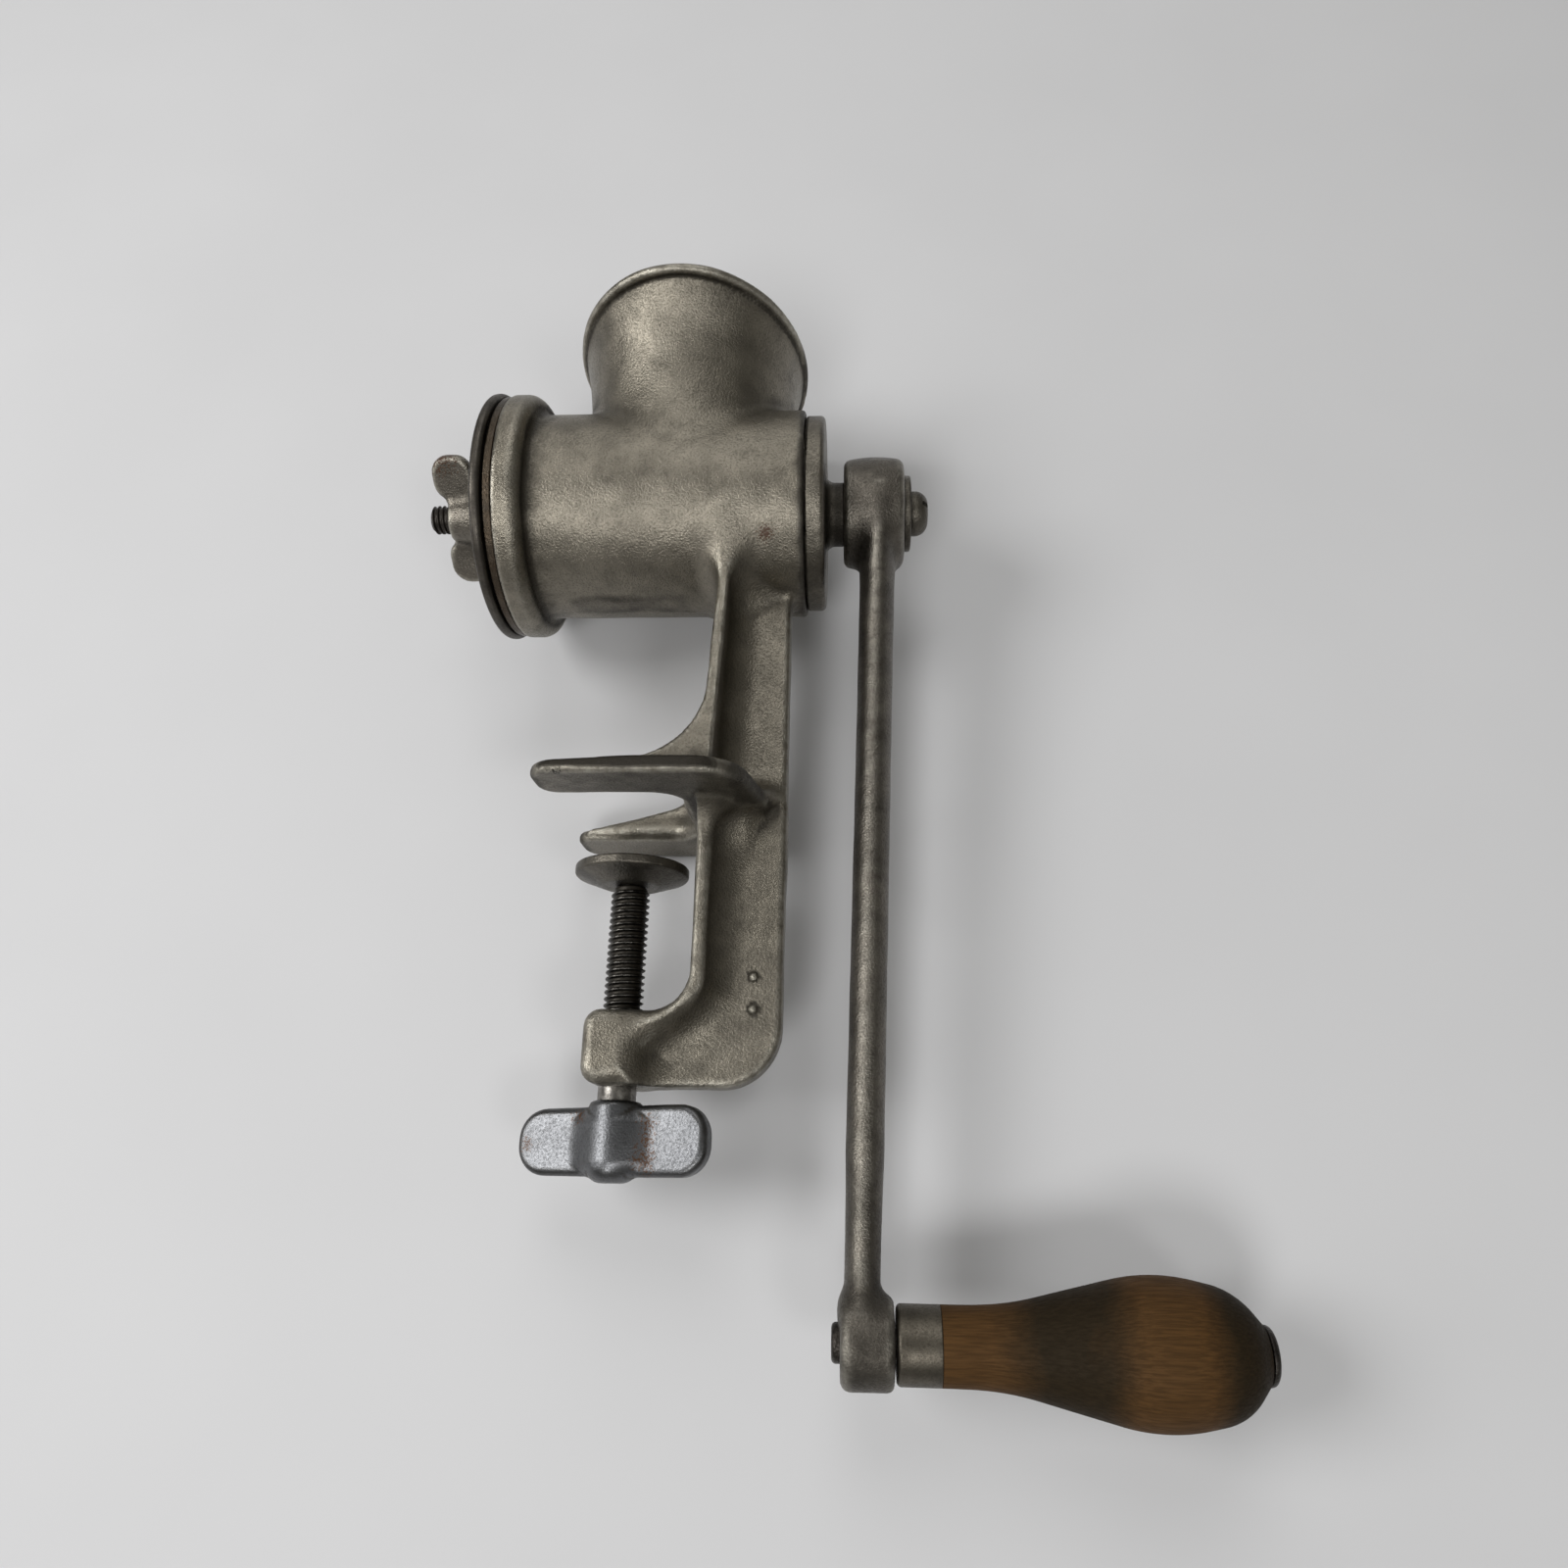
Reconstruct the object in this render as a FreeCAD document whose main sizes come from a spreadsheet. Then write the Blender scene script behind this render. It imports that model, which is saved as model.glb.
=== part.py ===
import FreeCAD, Part
import math
import os
import Sketcher

from FreeCAD import Placement, Rotation, Vector

# Hand crank meat grinder with a table clamp. Millimetres, +Z up, the barrel along X with its mouth at -X
# and the crank at +X. The origin is where the clamp screw's axis meets the seat on the table top.

doc = FreeCAD.newDocument("meat_grinder")

# Driving dimensions
SIZES = [
    # barrel and front flange
    ("axis_height", 89.3, "barrel axis above the table seat"),
    ("flange_face", -37.6, "front face of the barrel flange"),
    ("flange_radius", 33.3, "front flange"),
    ("flange_width", 6.2, "front flange rim"),
    ("flange_cove", 4.0, "hollow between flange and barrel"),
    ("barrel_radius", 27.9, "barrel outside"),
    ("barrel_back", 42.0, "rear end of the barrel"),
    ("bore_radius", 23.6, "barrel inside"),
    # hopper
    ("hopper_centre", 8.7, "hopper axis ahead of the clamp axis"),
    ("hopper_rim_height", 139.3, "hopper rim above the seat"),
    ("rim_half_length", 32.9, "hopper rim along the barrel"),
    ("rim_half_width", 42.4, "hopper rim across the barrel"),
    ("neck_half_length", 29.2, "hopper neck along the barrel"),
    ("neck_half_width", 27.3, "hopper neck across the barrel"),
    ("hopper_wall", 3.6, "hopper wall"),
    ("lip_radius", 1.7, "rolled bead of the rim"),
    # leg, fork and lower arm of the clamp frame
    ("leg_inner", 17.4, "inner face of the clamp frame"),
    ("leg_root_inner", 21.2, "inner face of the leg at the barrel"),
    ("leg_fork_inner", 18.4, "inner face of the leg at the fork"),
    ("leg_outer", 38.4, "outer edge of the leg"),
    ("flange_plate", 2.8, "thickness of the leg's inner flange"),
    ("flange_half_upper", 16.5, "half width of the inner flange at the barrel"),
    ("flange_half_lower", 12.4, "half width of the inner flange at the clamp"),
    ("web_half", 4.2, "half thickness of the leg's web"),
    ("web_cove", 6.5, "hollow between flange and web"),
    ("arm_top", -49.8, "top of the lower arm"),
    ("arm_bottom", -66.5, "bottom of the lower arm"),
    ("arm_tip", -6.9, "free end of the lower arm"),
    ("arm_corner", 14.5, "outer corner of the clamp frame"),
    ("throat_corner", 9.5, "inner corner of the clamp frame"),
    ("boss_side", 7.6, "where the arm's raised boss ends"),
    ("fork_tip", -20.0, "tips of the fork"),
    ("fork_back", 28.6, "rear of the fork's feet"),
    ("fork_half_width", 34.4, "half width over the fork"),
    ("slot_half_width", 18.3, "half width of the fork's slot"),
    ("slot_end", 13.8, "closed end of the fork's slot"),
    ("foot_height", 4.2, "thickness of the fork's feet"),
    ("rib_half_width", 22.6, "half width over the fork's ribs"),
    ("rib_corner_height", 12.6, "height where rib and leg would meet"),
    ("rib_sweep", 20.6, "sweep of the ribs into the leg"),
    # fixed ring and revolving cutter
    ("ring_radius", 32.8, "fixed ring outside"),
    ("ring_thickness", 2.1, "fixed ring in front of the flange"),
    ("ring_spigot_radius", 27.0, "fixed ring's spigot"),
    ("ring_spigot_length", 2.6, "fixed ring's spigot"),
    ("ring_bore_radius", 24.2, "fixed ring inside"),
    ("cutter_gap", 0.55, "gap between ring and cutter"),
    ("cutter_radius", 33.7, "revolving cutter"),
    ("cutter_thickness", 2.85, "revolving cutter"),
    ("cutter_boss_radius", 10.5, "boss of the revolving cutter"),
    ("cutter_boss_length", 3.2, "boss of the revolving cutter"),
    ("square_front", 11.0, "feed screw's front square, across the flats"),
    # feed screw
    ("flight_radius", 22.9, "feed screw's flight"),
    ("flight_pitch", 24.0, "feed screw's flight"),
    ("core_radius_front", 12.5, "feed screw's core at the mouth"),
    ("core_radius_back", 9.0, "feed screw's core under the hopper"),
    ("journal_radius", 23.55, "feed screw's rear journal"),
    ("journal_length", 7.0, "feed screw's rear journal"),
    ("collar_radius", 26.4, "feed screw's rear collar"),
    ("collar_thickness", 5.1, "feed screw's rear collar"),
    ("neck_radius", 8.7, "feed screw's neck"),
    ("square_back", 12.0, "feed screw's rear square, across the flats"),
    ("stud_radius", 3.97, "threaded stud, five sixteenths of an inch"),
    ("stud_pitch", 1.41, "threaded stud"),
    ("stud_end", -64.2, "free end of the stud"),
    # wing nut
    ("nut_front", -58.5, "front face of the wing nut"),
    ("nut_radius", 6.0, "wing nut hub"),
    ("ear_radius", 5.6, "wing nut ears"),
    ("ear_reach", 12.9, "wing nut ear centres from the axis"),
    ("ear_thickness", 3.4, "wing nut ears"),
    ("ear_centre", -56.9, "wing nut ear centres along the barrel"),
    ("nut_angle", 54.0, "degrees that the wing nut is turned by"),
    # crank
    ("hub_inner", 52.3, "inner face of the crank hub"),
    ("hub_outer", 68.7, "outer face of the crank hub"),
    ("hub_radius", 15.6, "crank hub"),
    ("crank_length", 208.1, "crank axis to handle axis"),
    ("bar_top_centre", 61.9, "middle of the crank's bar at the hub"),
    ("bar_foot_centre", 56.8, "middle of the crank's bar at the boss"),
    ("bar_half_thickness", 4.5, "half thickness of the crank's bar"),
    ("bar_half_width", 6.4, "half width of the crank's bar"),
    ("boss_radius", 9.4, "crank's handle boss"),
    ("boss_inner", 52.3, "inner face of the handle boss"),
    ("boss_outer", 63.9, "outer face of the handle boss"),
    ("washer_radius", 10.3, "crank washer"),
    ("washer_thickness", 1.9, "crank washer"),
    ("screw_head_radius", 6.1, "crank screw head"),
    ("screw_head_height", 4.8, "crank screw head"),
    ("screw_radius", 3.1, "crank screw shank"),
    # handle
    ("spindle_radius", 3.2, "handle spindle"),
    ("rivet_radius", 4.1, "riveted end of the spindle"),
    ("rivet_length", 1.9, "riveted end of the spindle"),
    ("button_radius", 6.0, "head of the spindle"),
    ("button_height", 1.65, "head of the spindle"),
    ("ferrule_start", 64.3, "ferrule's inner end"),
    ("ferrule_end", 73.9, "ferrule's outer end"),
    ("ferrule_radius", 8.1, "ferrule"),
    ("ferrule_wall", 0.8, "ferrule"),
    ("grip_end", 141.3, "outer end of the wooden grip"),
    ("grip_belly_radius", 15.4, "thickest part of the grip"),
    # clamp
    ("clamp_radius", 4.76, "clamp screw, three eighths of an inch"),
    ("clamp_pitch", 1.5875, "clamp screw, sixteen turns to the inch"),
    ("thread_depth", 0.75, "clamp screw"),
    ("shank_radius", 4.5, "plain shank of the clamp screw"),
    ("pad_radius", 14.1, "clamp pad"),
    ("pad_top", -13.2, "clamp pad's face"),
    ("pad_height", 5.0, "clamp pad"),
    ("wing_top", -71.2, "upper edge of the thumb wing"),
    ("wing_bottom", -86.2, "lower edge of the thumb wing"),
    ("wing_half_length", 23.6, "half length of the thumb wing"),
    ("wing_half_thickness", 2.6, "half thickness of the thumb wing"),
    ("wing_hub_radius", 6.2, "hub of the thumb wing"),
    ("wing_hub_top", -69.6, "hub of the thumb wing"),
    ("wing_hub_bottom", -87.6, "hub of the thumb wing"),
    ("wing_angle", -14.0, "degrees that the thumb wing is turned by"),
]

sheet = doc.addObject("Spreadsheet::Sheet", "sizes")
for row, (alias, number, meaning) in enumerate(SIZES, start=1):
    sheet.set(f"A{row}", meaning)
    sheet.set(f"B{row}", str(number))
    sheet.setAlias(f"B{row}", alias)
doc.recompute()


class Size:
    """A length together with the sheet expression that drives it."""

    def __init__(self, value, text):
        self.value = value
        self.text = text

    def __add__(self, other):
        other = as_size(other)
        return Size(self.value + other.value, f"({self.text} + {other.text})")

    def __sub__(self, other):
        other = as_size(other)
        return Size(self.value - other.value, f"({self.text} - {other.text})")

    def __mul__(self, other):
        other = as_size(other)
        return Size(self.value * other.value, f"({self.text} * {other.text})")

    def __truediv__(self, other):
        other = as_size(other)
        return Size(self.value / other.value, f"({self.text} / {other.text})")

    def __neg__(self):
        return Size(-self.value, f"(0 - {self.text})")

    def __rsub__(self, other):
        return as_size(other) - self

    def __radd__(self, other):
        return as_size(other) + self


def as_size(number):
    """Turns a plain number into a Size."""
    if isinstance(number, Size):
        return number
    return Size(float(number), f"{float(number):g}")


def size(alias):
    """The Size of one sheet cell."""
    return Size(float(sheet.get(alias)), f"sizes.{alias}")


def bind(target, prop, amount):
    """Sets one property of an object from the sheet."""
    amount = as_size(amount)
    target.setExpression(prop, amount.text)


# Sketches
def new_body(label):
    body = doc.addObject("PartDesign::Body", label)
    body.Label = label
    return body


def new_sketch(body, name, plane, offset=0.0, lift=0.0):
    """An empty sketch on one of the body's own planes, moved along its normal and lifted."""
    sketch = body.newObject("Sketcher::SketchObject", name)
    support = [item for item in body.Origin.OriginFeatures if item.Role == plane]
    sketch.AttachmentSupport = (support[0], [""])
    sketch.MapMode = "FlatFace"
    bind(sketch, "AttachmentOffset.Base.z", offset)
    bind(sketch, "AttachmentOffset.Base.y", lift)
    doc.recompute()
    return sketch


def pin_value(sketch, kind, geometry, point, amount):
    """A horizontal, vertical or radius dimension bound to the sheet."""
    amount = as_size(amount)
    if kind == "Radius":
        index = sketch.addConstraint(Sketcher.Constraint(kind, geometry, amount.value))
    else:
        index = sketch.addConstraint(Sketcher.Constraint(kind, -1, 1, geometry, point, amount.value))
    name = f"d{index}"
    sketch.renameConstraint(index, name)
    if "sizes." in amount.text:
        sketch.setExpression(f"Constraints.{name}", amount.text)


def draw_circle(sketch, x, y, radius):
    x = as_size(x)
    y = as_size(y)
    radius = as_size(radius)
    centre = Vector(x.value, y.value, 0)
    index = sketch.addGeometry(Part.Circle(centre, Vector(0, 0, 1), radius.value))
    pin_value(sketch, "Radius", index, 0, radius)
    pin_value(sketch, "DistanceX", index, 3, x)
    pin_value(sketch, "DistanceY", index, 3, y)


def draw_outline(sketch, corners):
    """A closed outline through the corners (x, y, radius). Each corner with a radius is rounded."""
    corners = [tuple(as_size(number) for number in corner) for corner in corners]
    count = len(corners)
    vertex = [Vector(x.value, y.value, 0) for x, y, _ in corners]
    entry = []
    leave = []
    for k in range(count):
        radius = corners[k][2].value
        before = (vertex[k - 1] - vertex[k]).normalize()
        after = (vertex[(k + 1) % count] - vertex[k]).normalize()
        half = before.getAngle(after) / 2
        reach = radius / math.tan(half) if radius > 0 else 0.0
        entry.append(vertex[k] + before * reach)
        leave.append(vertex[k] + after * reach)
    side = []
    for k in range(count):
        side.append(sketch.addGeometry(Part.LineSegment(leave[k], entry[(k + 1) % count])))
    for k in range(count):
        radius = corners[k][2]
        if radius.value == 0:
            sketch.addConstraint(Sketcher.Constraint("Coincident", side[k - 1], 2, side[k], 1))
            pin_value(sketch, "DistanceX", side[k], 1, corners[k][0])
            pin_value(sketch, "DistanceY", side[k], 1, corners[k][1])
            continue
        mark = sketch.addGeometry(Part.Point(vertex[k]), True)
        pin_value(sketch, "DistanceX", mark, 1, corners[k][0])
        pin_value(sketch, "DistanceY", mark, 1, corners[k][1])
        sketch.addConstraint(Sketcher.Constraint("PointOnObject", mark, 1, side[k - 1]))
        sketch.addConstraint(Sketcher.Constraint("PointOnObject", mark, 1, side[k]))
        before = (entry[k] - vertex[k]).normalize()
        after = (leave[k] - vertex[k]).normalize()
        inward = (before + after).normalize()
        half = before.getAngle(after) / 2
        centre = vertex[k] + inward * (radius.value / math.sin(half))
        start = entry[k] - centre
        stop = leave[k] - centre
        turns_left = start.cross(stop).z > 0
        if not turns_left:
            start, stop = stop, start
        first_angle = math.atan2(start.y, start.x)
        last_angle = math.atan2(stop.y, stop.x)
        if last_angle < first_angle:
            last_angle += 2 * math.pi
        circle = Part.Circle(centre, Vector(0, 0, 1), radius.value)
        arc_index = sketch.addGeometry(Part.ArcOfCircle(circle, first_angle, last_angle))
        first, last = (1, 2) if turns_left else (2, 1)
        sketch.addConstraint(Sketcher.Constraint("Tangent", side[k - 1], 2, arc_index, first))
        sketch.addConstraint(Sketcher.Constraint("Tangent", arc_index, last, side[k], 1))
        pin_value(sketch, "Radius", arc_index, 0, radius)


# Features
def pad(body, name, plane, corners, half=None, length=None, lift=0.0):
    """Pads an outline, both ways by half or one way by length."""
    sketch = new_sketch(body, name + "_outline", plane, lift=lift)
    draw_outline(sketch, corners)
    feature = body.newObject("PartDesign::Pad", name)
    feature.Profile = sketch
    if half is not None:
        feature.SideType = "Symmetric"
        bind(feature, "Length", as_size(half) * 2)
    else:
        bind(feature, "Length", length)
    doc.recompute()
    return feature


def turned(body, name, corners, axis="H_Axis", lift=0.0):
    """Turns an outline (along the axis, from the axis) about the sketch's own axis."""
    sketch = new_sketch(body, name + "_outline", "XZ_Plane", lift=lift)
    draw_outline(sketch, corners)
    feature = body.newObject("PartDesign::Revolution", name)
    feature.Profile = sketch
    feature.ReferenceAxis = (sketch, [axis])
    feature.Angle = 360
    doc.recompute()
    return feature


def square_bar(body, name, start, stop, across, lift):
    """A square bar along X."""
    half = as_size(across) / 2
    sketch = new_sketch(body, name + "_outline", "YZ_Plane", start, lift)
    draw_outline(sketch, [(-half, -half, 0.6), (half, -half, 0.6), (half, half, 0.6), (-half, half, 0.6)])
    feature = body.newObject("PartDesign::Pad", name)
    feature.Profile = sketch
    bind(feature, "Length", as_size(stop) - start)
    doc.recompute()
    return feature


def cut(body, name, sketch, depth, reverse):
    """Pockets a sketch and makes sure that the pocket removes something."""
    before = body.Tip.Shape.Volume
    feature = body.newObject("PartDesign::Pocket", name)
    feature.Profile = sketch
    feature.Reversed = reverse
    bind(feature, "Length", depth)
    doc.recompute()
    if feature.Shape.Volume > before - 1e-3:
        raise RuntimeError(name + " removes nothing")
    return feature


def thread(body, name, corners, pitch, height, axis, lift=0.0):
    """Winds an outline about the sketch's axis as a screw thread or flight."""
    sketch = new_sketch(body, name + "_outline", "XZ_Plane", lift=lift)
    draw_outline(sketch, corners)
    feature = body.newObject("PartDesign::AdditiveHelix", name)
    feature.Profile = sketch
    feature.ReferenceAxis = (sketch, [axis])
    feature.Mode = "pitch-height-angle"
    bind(feature, "Pitch", pitch)
    bind(feature, "Height", height)
    doc.recompute()
    return feature


def chosen_edges(shape, inward, test):
    """Names of a solid's inward or outward edges whose middle point passes the test."""
    names = []
    for index, edge in enumerate(shape.Edges, start=1):
        faces = shape.ancestorsOfType(edge, Part.Face)
        if len(faces) != 2:
            continue
        middle = edge.valueAt((edge.FirstParameter + edge.LastParameter) / 2)
        normals = []
        for face in faces:
            u, v = face.Surface.parameter(middle)
            normals.append(face.normalAt(u, v))
        if normals[0].isEqual(normals[1], 0.05):
            continue
        probe = middle + (normals[0] - normals[1]).normalize() * 0.05
        if shape.isInside(probe, 1e-4, False) == inward and test(middle):
            names.append(f"Edge{index}")
    return names


def round_edges(body, name, radius, inward, test):
    """Fillets the inward or outward edges of the body's tip that pass the test."""
    base = body.Tip
    names = chosen_edges(base.Shape, inward, test)
    feature = body.newObject("PartDesign::Fillet", name)
    feature.Base = (base, names)
    bind(feature, "Radius", radius)
    doc.recompute()
    return feature


# Clamp frame: leg, fork and lower arm
frame_body = new_body("clamp_frame")
axis_height = size("axis_height")
leg_top = axis_height - 9
leg_inner = size("leg_inner")
leg_back = leg_inner + size("flange_plate")
foot = size("foot_height")

pad(frame_body, "leg_web", "XZ_Plane", [
    (size("leg_root_inner") + 1, leg_top, 0),
    (size("leg_outer"), leg_top, 0),
    (size("leg_outer"), size("arm_bottom"), size("arm_corner")),
    (size("boss_side") - 4, size("arm_bottom"), 0),
    (size("boss_side") - 4, size("arm_bottom") + 6, 0),
    (leg_inner + 1.5, size("arm_top") + 6, 0),
    (leg_inner + 1.5, foot * 0.5, 0),
], half=size("web_half"))
pad(frame_body, "throat_flange", "XZ_Plane", [
    (leg_inner, foot * 0.5, 0),
    (leg_inner, size("arm_top"), size("throat_corner")),
    (size("arm_tip"), size("arm_top"), 4),
    (size("arm_tip"), size("arm_bottom"), 4),
    (size("boss_side"), size("arm_bottom"), 0),
    (size("boss_side") + 0.8, size("arm_bottom") + 5, 6),
    (leg_back + 0.4, size("arm_top") + 3, 10),
    (leg_back + 0.4, foot * 0.5, 0),
], half=size("flange_half_lower"))
pad(frame_body, "leg_flange_and_ribs", "XZ_Plane", [
    (size("leg_root_inner"), leg_top, 0),
    (size("leg_fork_inner"), size("rib_corner_height"), size("rib_sweep")),
    (size("fork_tip") + 9, 3.6, 0),
    (size("fork_tip") + 9, foot * 0.5, 0),
    (size("leg_fork_inner") + size("flange_plate"), foot * 0.5, 0),
    (size("leg_root_inner") + size("flange_plate"), leg_top, 0),
], half=size("rib_half_width"))
taper_sketch = new_sketch(frame_body, "flange_taper_outline", "YZ_Plane", size("fork_tip"))
for side_sign in (-1, 1):
    draw_outline(taper_sketch, [
        (size("rib_half_width") * side_sign, size("rib_corner_height"), 0),
        (size("flange_half_upper") * side_sign, leg_top + 1, 0),
        (size("fork_half_width") * side_sign, leg_top + 1, 0),
        (size("fork_half_width") * side_sign, size("rib_corner_height"), 0),
    ])
cut(frame_body, "flange_taper", taper_sketch, size("leg_outer") - size("fork_tip"), True)
pad(frame_body, "fork_feet", "XY_Plane", [
    (size("fork_tip"), -size("fork_half_width"), 7),
    (size("fork_back"), -size("fork_half_width"), 9),
    (size("fork_back"), size("fork_half_width"), 9),
    (size("fork_tip"), size("fork_half_width"), 7),
    (size("fork_tip"), size("slot_half_width"), 7),
    (size("slot_end"), size("slot_half_width"), 8),
    (size("slot_end"), -size("slot_half_width"), 8),
    (size("fork_tip"), -size("slot_half_width"), 7),
], length=foot)
slot_sketch = new_sketch(frame_body, "fork_slot_outline", "XY_Plane", -1.0)
draw_outline(slot_sketch, [
    (size("fork_tip") - 5, -size("slot_half_width"), 0),
    (size("slot_end"), -size("slot_half_width"), 8),
    (size("slot_end"), size("slot_half_width"), 8),
    (size("fork_tip") - 5, size("slot_half_width"), 0),
])
cut(frame_body, "fork_slot", slot_sketch, size("rib_corner_height") * 4, True)

web = size("web_half").value
rise = foot.value
round_edges(frame_body, "web_coves", size("web_cove"), True,
            lambda at: abs(abs(at.y) - web) < 0.05)
round_edges(frame_body, "seat_coves", 3.0, True,
            lambda at: abs(at.z) < 0.05 and at.x < leg_back.value + 3.8)
round_edges(frame_body, "rib_coves", 2.5, True,
            lambda at: abs(at.z - rise) < 0.05)
round_edges(frame_body, "arm_edges", 2.4, False,
            lambda at: abs(at.x - size("arm_tip").value) < 0.6 and abs(at.y) > 12)
round_edges(frame_body, "web_edges", 1.5, False,
            lambda at: abs(abs(at.y) - web) < 0.1 and at.z < leg_top.value - 1
            and (at.x > 37 or at.z < -66 or (at.x > 30 and at.z < -52)))
round_edges(frame_body, "foot_lower_edges", 1.5, False,
            lambda at: abs(at.z) < 0.05
            and (abs(at.y) > 18 or at.x > 25 or at.x < 14))
round_edges(frame_body, "foot_upper_edges", 1.8, False,
            lambda at: abs(at.z - rise) < 0.05
            and (abs(at.y) > 24 or at.x > 26 or at.x < -11))
round_edges(frame_body, "flange_edges", 1.0, False,
            lambda at: 16 < abs(at.y) < 23 and 8 < at.z < leg_top.value - 1)

# Barrel with its front flange
barrel_body = new_body("barrel")
flange_back = size("flange_face") + size("flange_width")
turned(barrel_body, "barrel_turning", [
    (size("flange_face"), 0, 0),
    (size("flange_face"), size("flange_radius"), 0.8),
    (flange_back, size("flange_radius"), 1.2),
    (flange_back, size("barrel_radius"), size("flange_cove")),
    (size("barrel_back"), size("barrel_radius"), 1.0),
    (size("barrel_back"), 0, 0),
], lift=axis_height)


def oval(x, height, half_length, half_width):
    """A level oval about a point of the middle plane."""
    circle = Part.Wire([Part.makeCircle(1.0)])
    stretch = FreeCAD.Matrix()
    stretch.scale(half_length, half_width, 1.0)
    stretch.move(Vector(x, 0, height))
    return Part.Wire(circle.transformGeometry(stretch).Edges)


def hopper_stations(inset, foot_height, rim_height):
    """Ovals from the barrel axis to the rim: a straight neck, then a flare that opens across the barrel."""
    neck_length = size("neck_half_length").value - inset
    neck_width = size("neck_half_width").value - inset
    rim_length = size("rim_half_length").value - inset
    rim_width = size("rim_half_width").value - inset
    stations = []
    for share, flare in ((0.0, 0.0), (0.25, 0.0), (0.5, 0.08), (0.75, 0.40), (0.9, 0.74), (1.0, 1.0)):
        height = foot_height + share * (rim_height - foot_height)
        length = neck_length + flare * (rim_length - neck_length)
        width = neck_width + flare * (rim_width - neck_width)
        stations.append(oval(size("hopper_centre").value, height, length, width))
    return stations


# Hopper with its rolled bead, and its inside
rim = size("hopper_rim_height").value
bead = size("lip_radius").value
bead_length = size("rim_half_length").value - bead
bead_width = size("rim_half_width").value - bead
bead_path = oval(size("hopper_centre").value, rim - bead, bead_length, bead_width)
bead_start = Vector(size("hopper_centre").value + bead_length, 0, rim - bead)
bead_ring = Part.Wire([Part.makeCircle(bead, bead_start, Vector(0, 1, 0))])
hopper_bead = bead_path.makePipeShell([bead_ring], True, True)
hopper_flare = Part.makeLoft(hopper_stations(0.5 * bead, axis_height.value, rim), True, False)
hopper_void = doc.addObject("Part::Feature", "hopper_inside")
hopper_void.Shape = Part.makeLoft(
    hopper_stations(size("hopper_wall").value, axis_height.value, rim + 0.5), True, False)

# Bores of the casting
bore_body = new_body("barrel_bore")
turned(bore_body, "bore_turning", [
    (size("flange_face") - 1, 0, 0),
    (size("flange_face") - 1, size("ring_spigot_radius"), 0),
    (size("flange_face") + size("ring_spigot_length"), size("ring_spigot_radius"), 0),
    (size("flange_face") + size("ring_spigot_length"), size("bore_radius"), 0),
    (size("barrel_back") + 1, size("bore_radius"), 0),
    (size("barrel_back") + 1, 0, 0),
], lift=axis_height)
tapped = doc.addObject("Part::Cylinder", "clamp_screw_hole")
bind(tapped, "Radius", size("clamp_radius") + 0.1)
bind(tapped, "Height", size("arm_top") - size("arm_bottom") + 4)
bind(tapped, "Placement.Base.z", size("arm_bottom") - 2)

cast_voids = doc.addObject("Part::MultiFuse", "cast_voids")
cast_voids.Shapes = [bore_body, hopper_void, tapped]
doc.recompute()
cast_mass = frame_body.Shape.fuse([barrel_body.Shape, hopper_flare, hopper_bead])
casting = doc.addObject("Part::Feature", "body_casting")
casting.Shape = cast_mass.cut(cast_voids.Shape)
casting.Label = "body_casting"

# Fixed ring pressed into the barrel's mouth, with radial grooves on its face
ring_face = size("flange_face") - size("ring_thickness")
ring_body = new_body("fixed_ring")
turned(ring_body, "ring_turning", [
    (ring_face, size("ring_bore_radius"), 0.3),
    (ring_face, size("ring_radius"), 0.5),
    (size("flange_face"), size("ring_radius"), 0.3),
    (size("flange_face"), size("ring_spigot_radius"), 0),
    (size("flange_face") + size("ring_spigot_length"), size("ring_spigot_radius"), 0),
    (size("flange_face") + size("ring_spigot_length"), size("ring_bore_radius"), 0.3),
], lift=axis_height)


def radial_grooves(body, name, face, inner, outer, count, depth, reverse):
    """Evenly spaced straight grooves across one face of a disc or ring."""
    sketch = new_sketch(body, name + "_outline", "YZ_Plane", face, axis_height)
    draw_outline(sketch, [(-0.7, inner, 0), (0.7, inner, 0), (0.7, outer, 0), (-0.7, outer, 0)])
    groove = cut(body, name, sketch, depth, reverse)
    pattern = body.newObject("PartDesign::PolarPattern", name + "_pattern")
    pattern.Originals = [groove]
    pattern.Axis = (sketch, ["N_Axis"])
    pattern.Angle = 360
    pattern.Occurrences = count
    body.Tip = pattern
    doc.recompute()


radial_grooves(ring_body, "ring_groove", ring_face, size("ring_bore_radius") - 2, size("ring_radius") - 2.6,
               24, 0.9, True)

# Revolving cutter
cutter_back = ring_face - size("cutter_gap")
cutter_front = cutter_back - size("cutter_thickness")
cutter_nose = cutter_front - size("cutter_boss_length")
cutter_body = new_body("revolving_cutter")
turned(cutter_body, "cutter_turning", [
    (cutter_nose, 0, 0),
    (cutter_nose, size("cutter_boss_radius"), 1.0),
    (cutter_front, size("cutter_boss_radius"), 1.4),
    (cutter_front, size("cutter_radius"), 1.2),
    (cutter_back, size("cutter_radius"), 1.2),
    (cutter_back, 0, 0),
], lift=axis_height)
radial_grooves(cutter_body, "cutter_groove", cutter_back, size("ring_bore_radius") - 5,
               size("cutter_radius") - 3.5, 24, 0.9, False)
drive_hole = new_sketch(cutter_body, "drive_hole_outline", "YZ_Plane", cutter_back + 1, axis_height)
drive_half = size("square_front") / 2 + 0.06
draw_outline(drive_hole, [(-drive_half, -drive_half, 0.5), (drive_half, -drive_half, 0.5),
                          (drive_half, drive_half, 0.5), (-drive_half, drive_half, 0.5)])
cut(cutter_body, "drive_hole", drive_hole, size("cutter_thickness") + size("cutter_boss_length") + 3, False)

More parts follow.
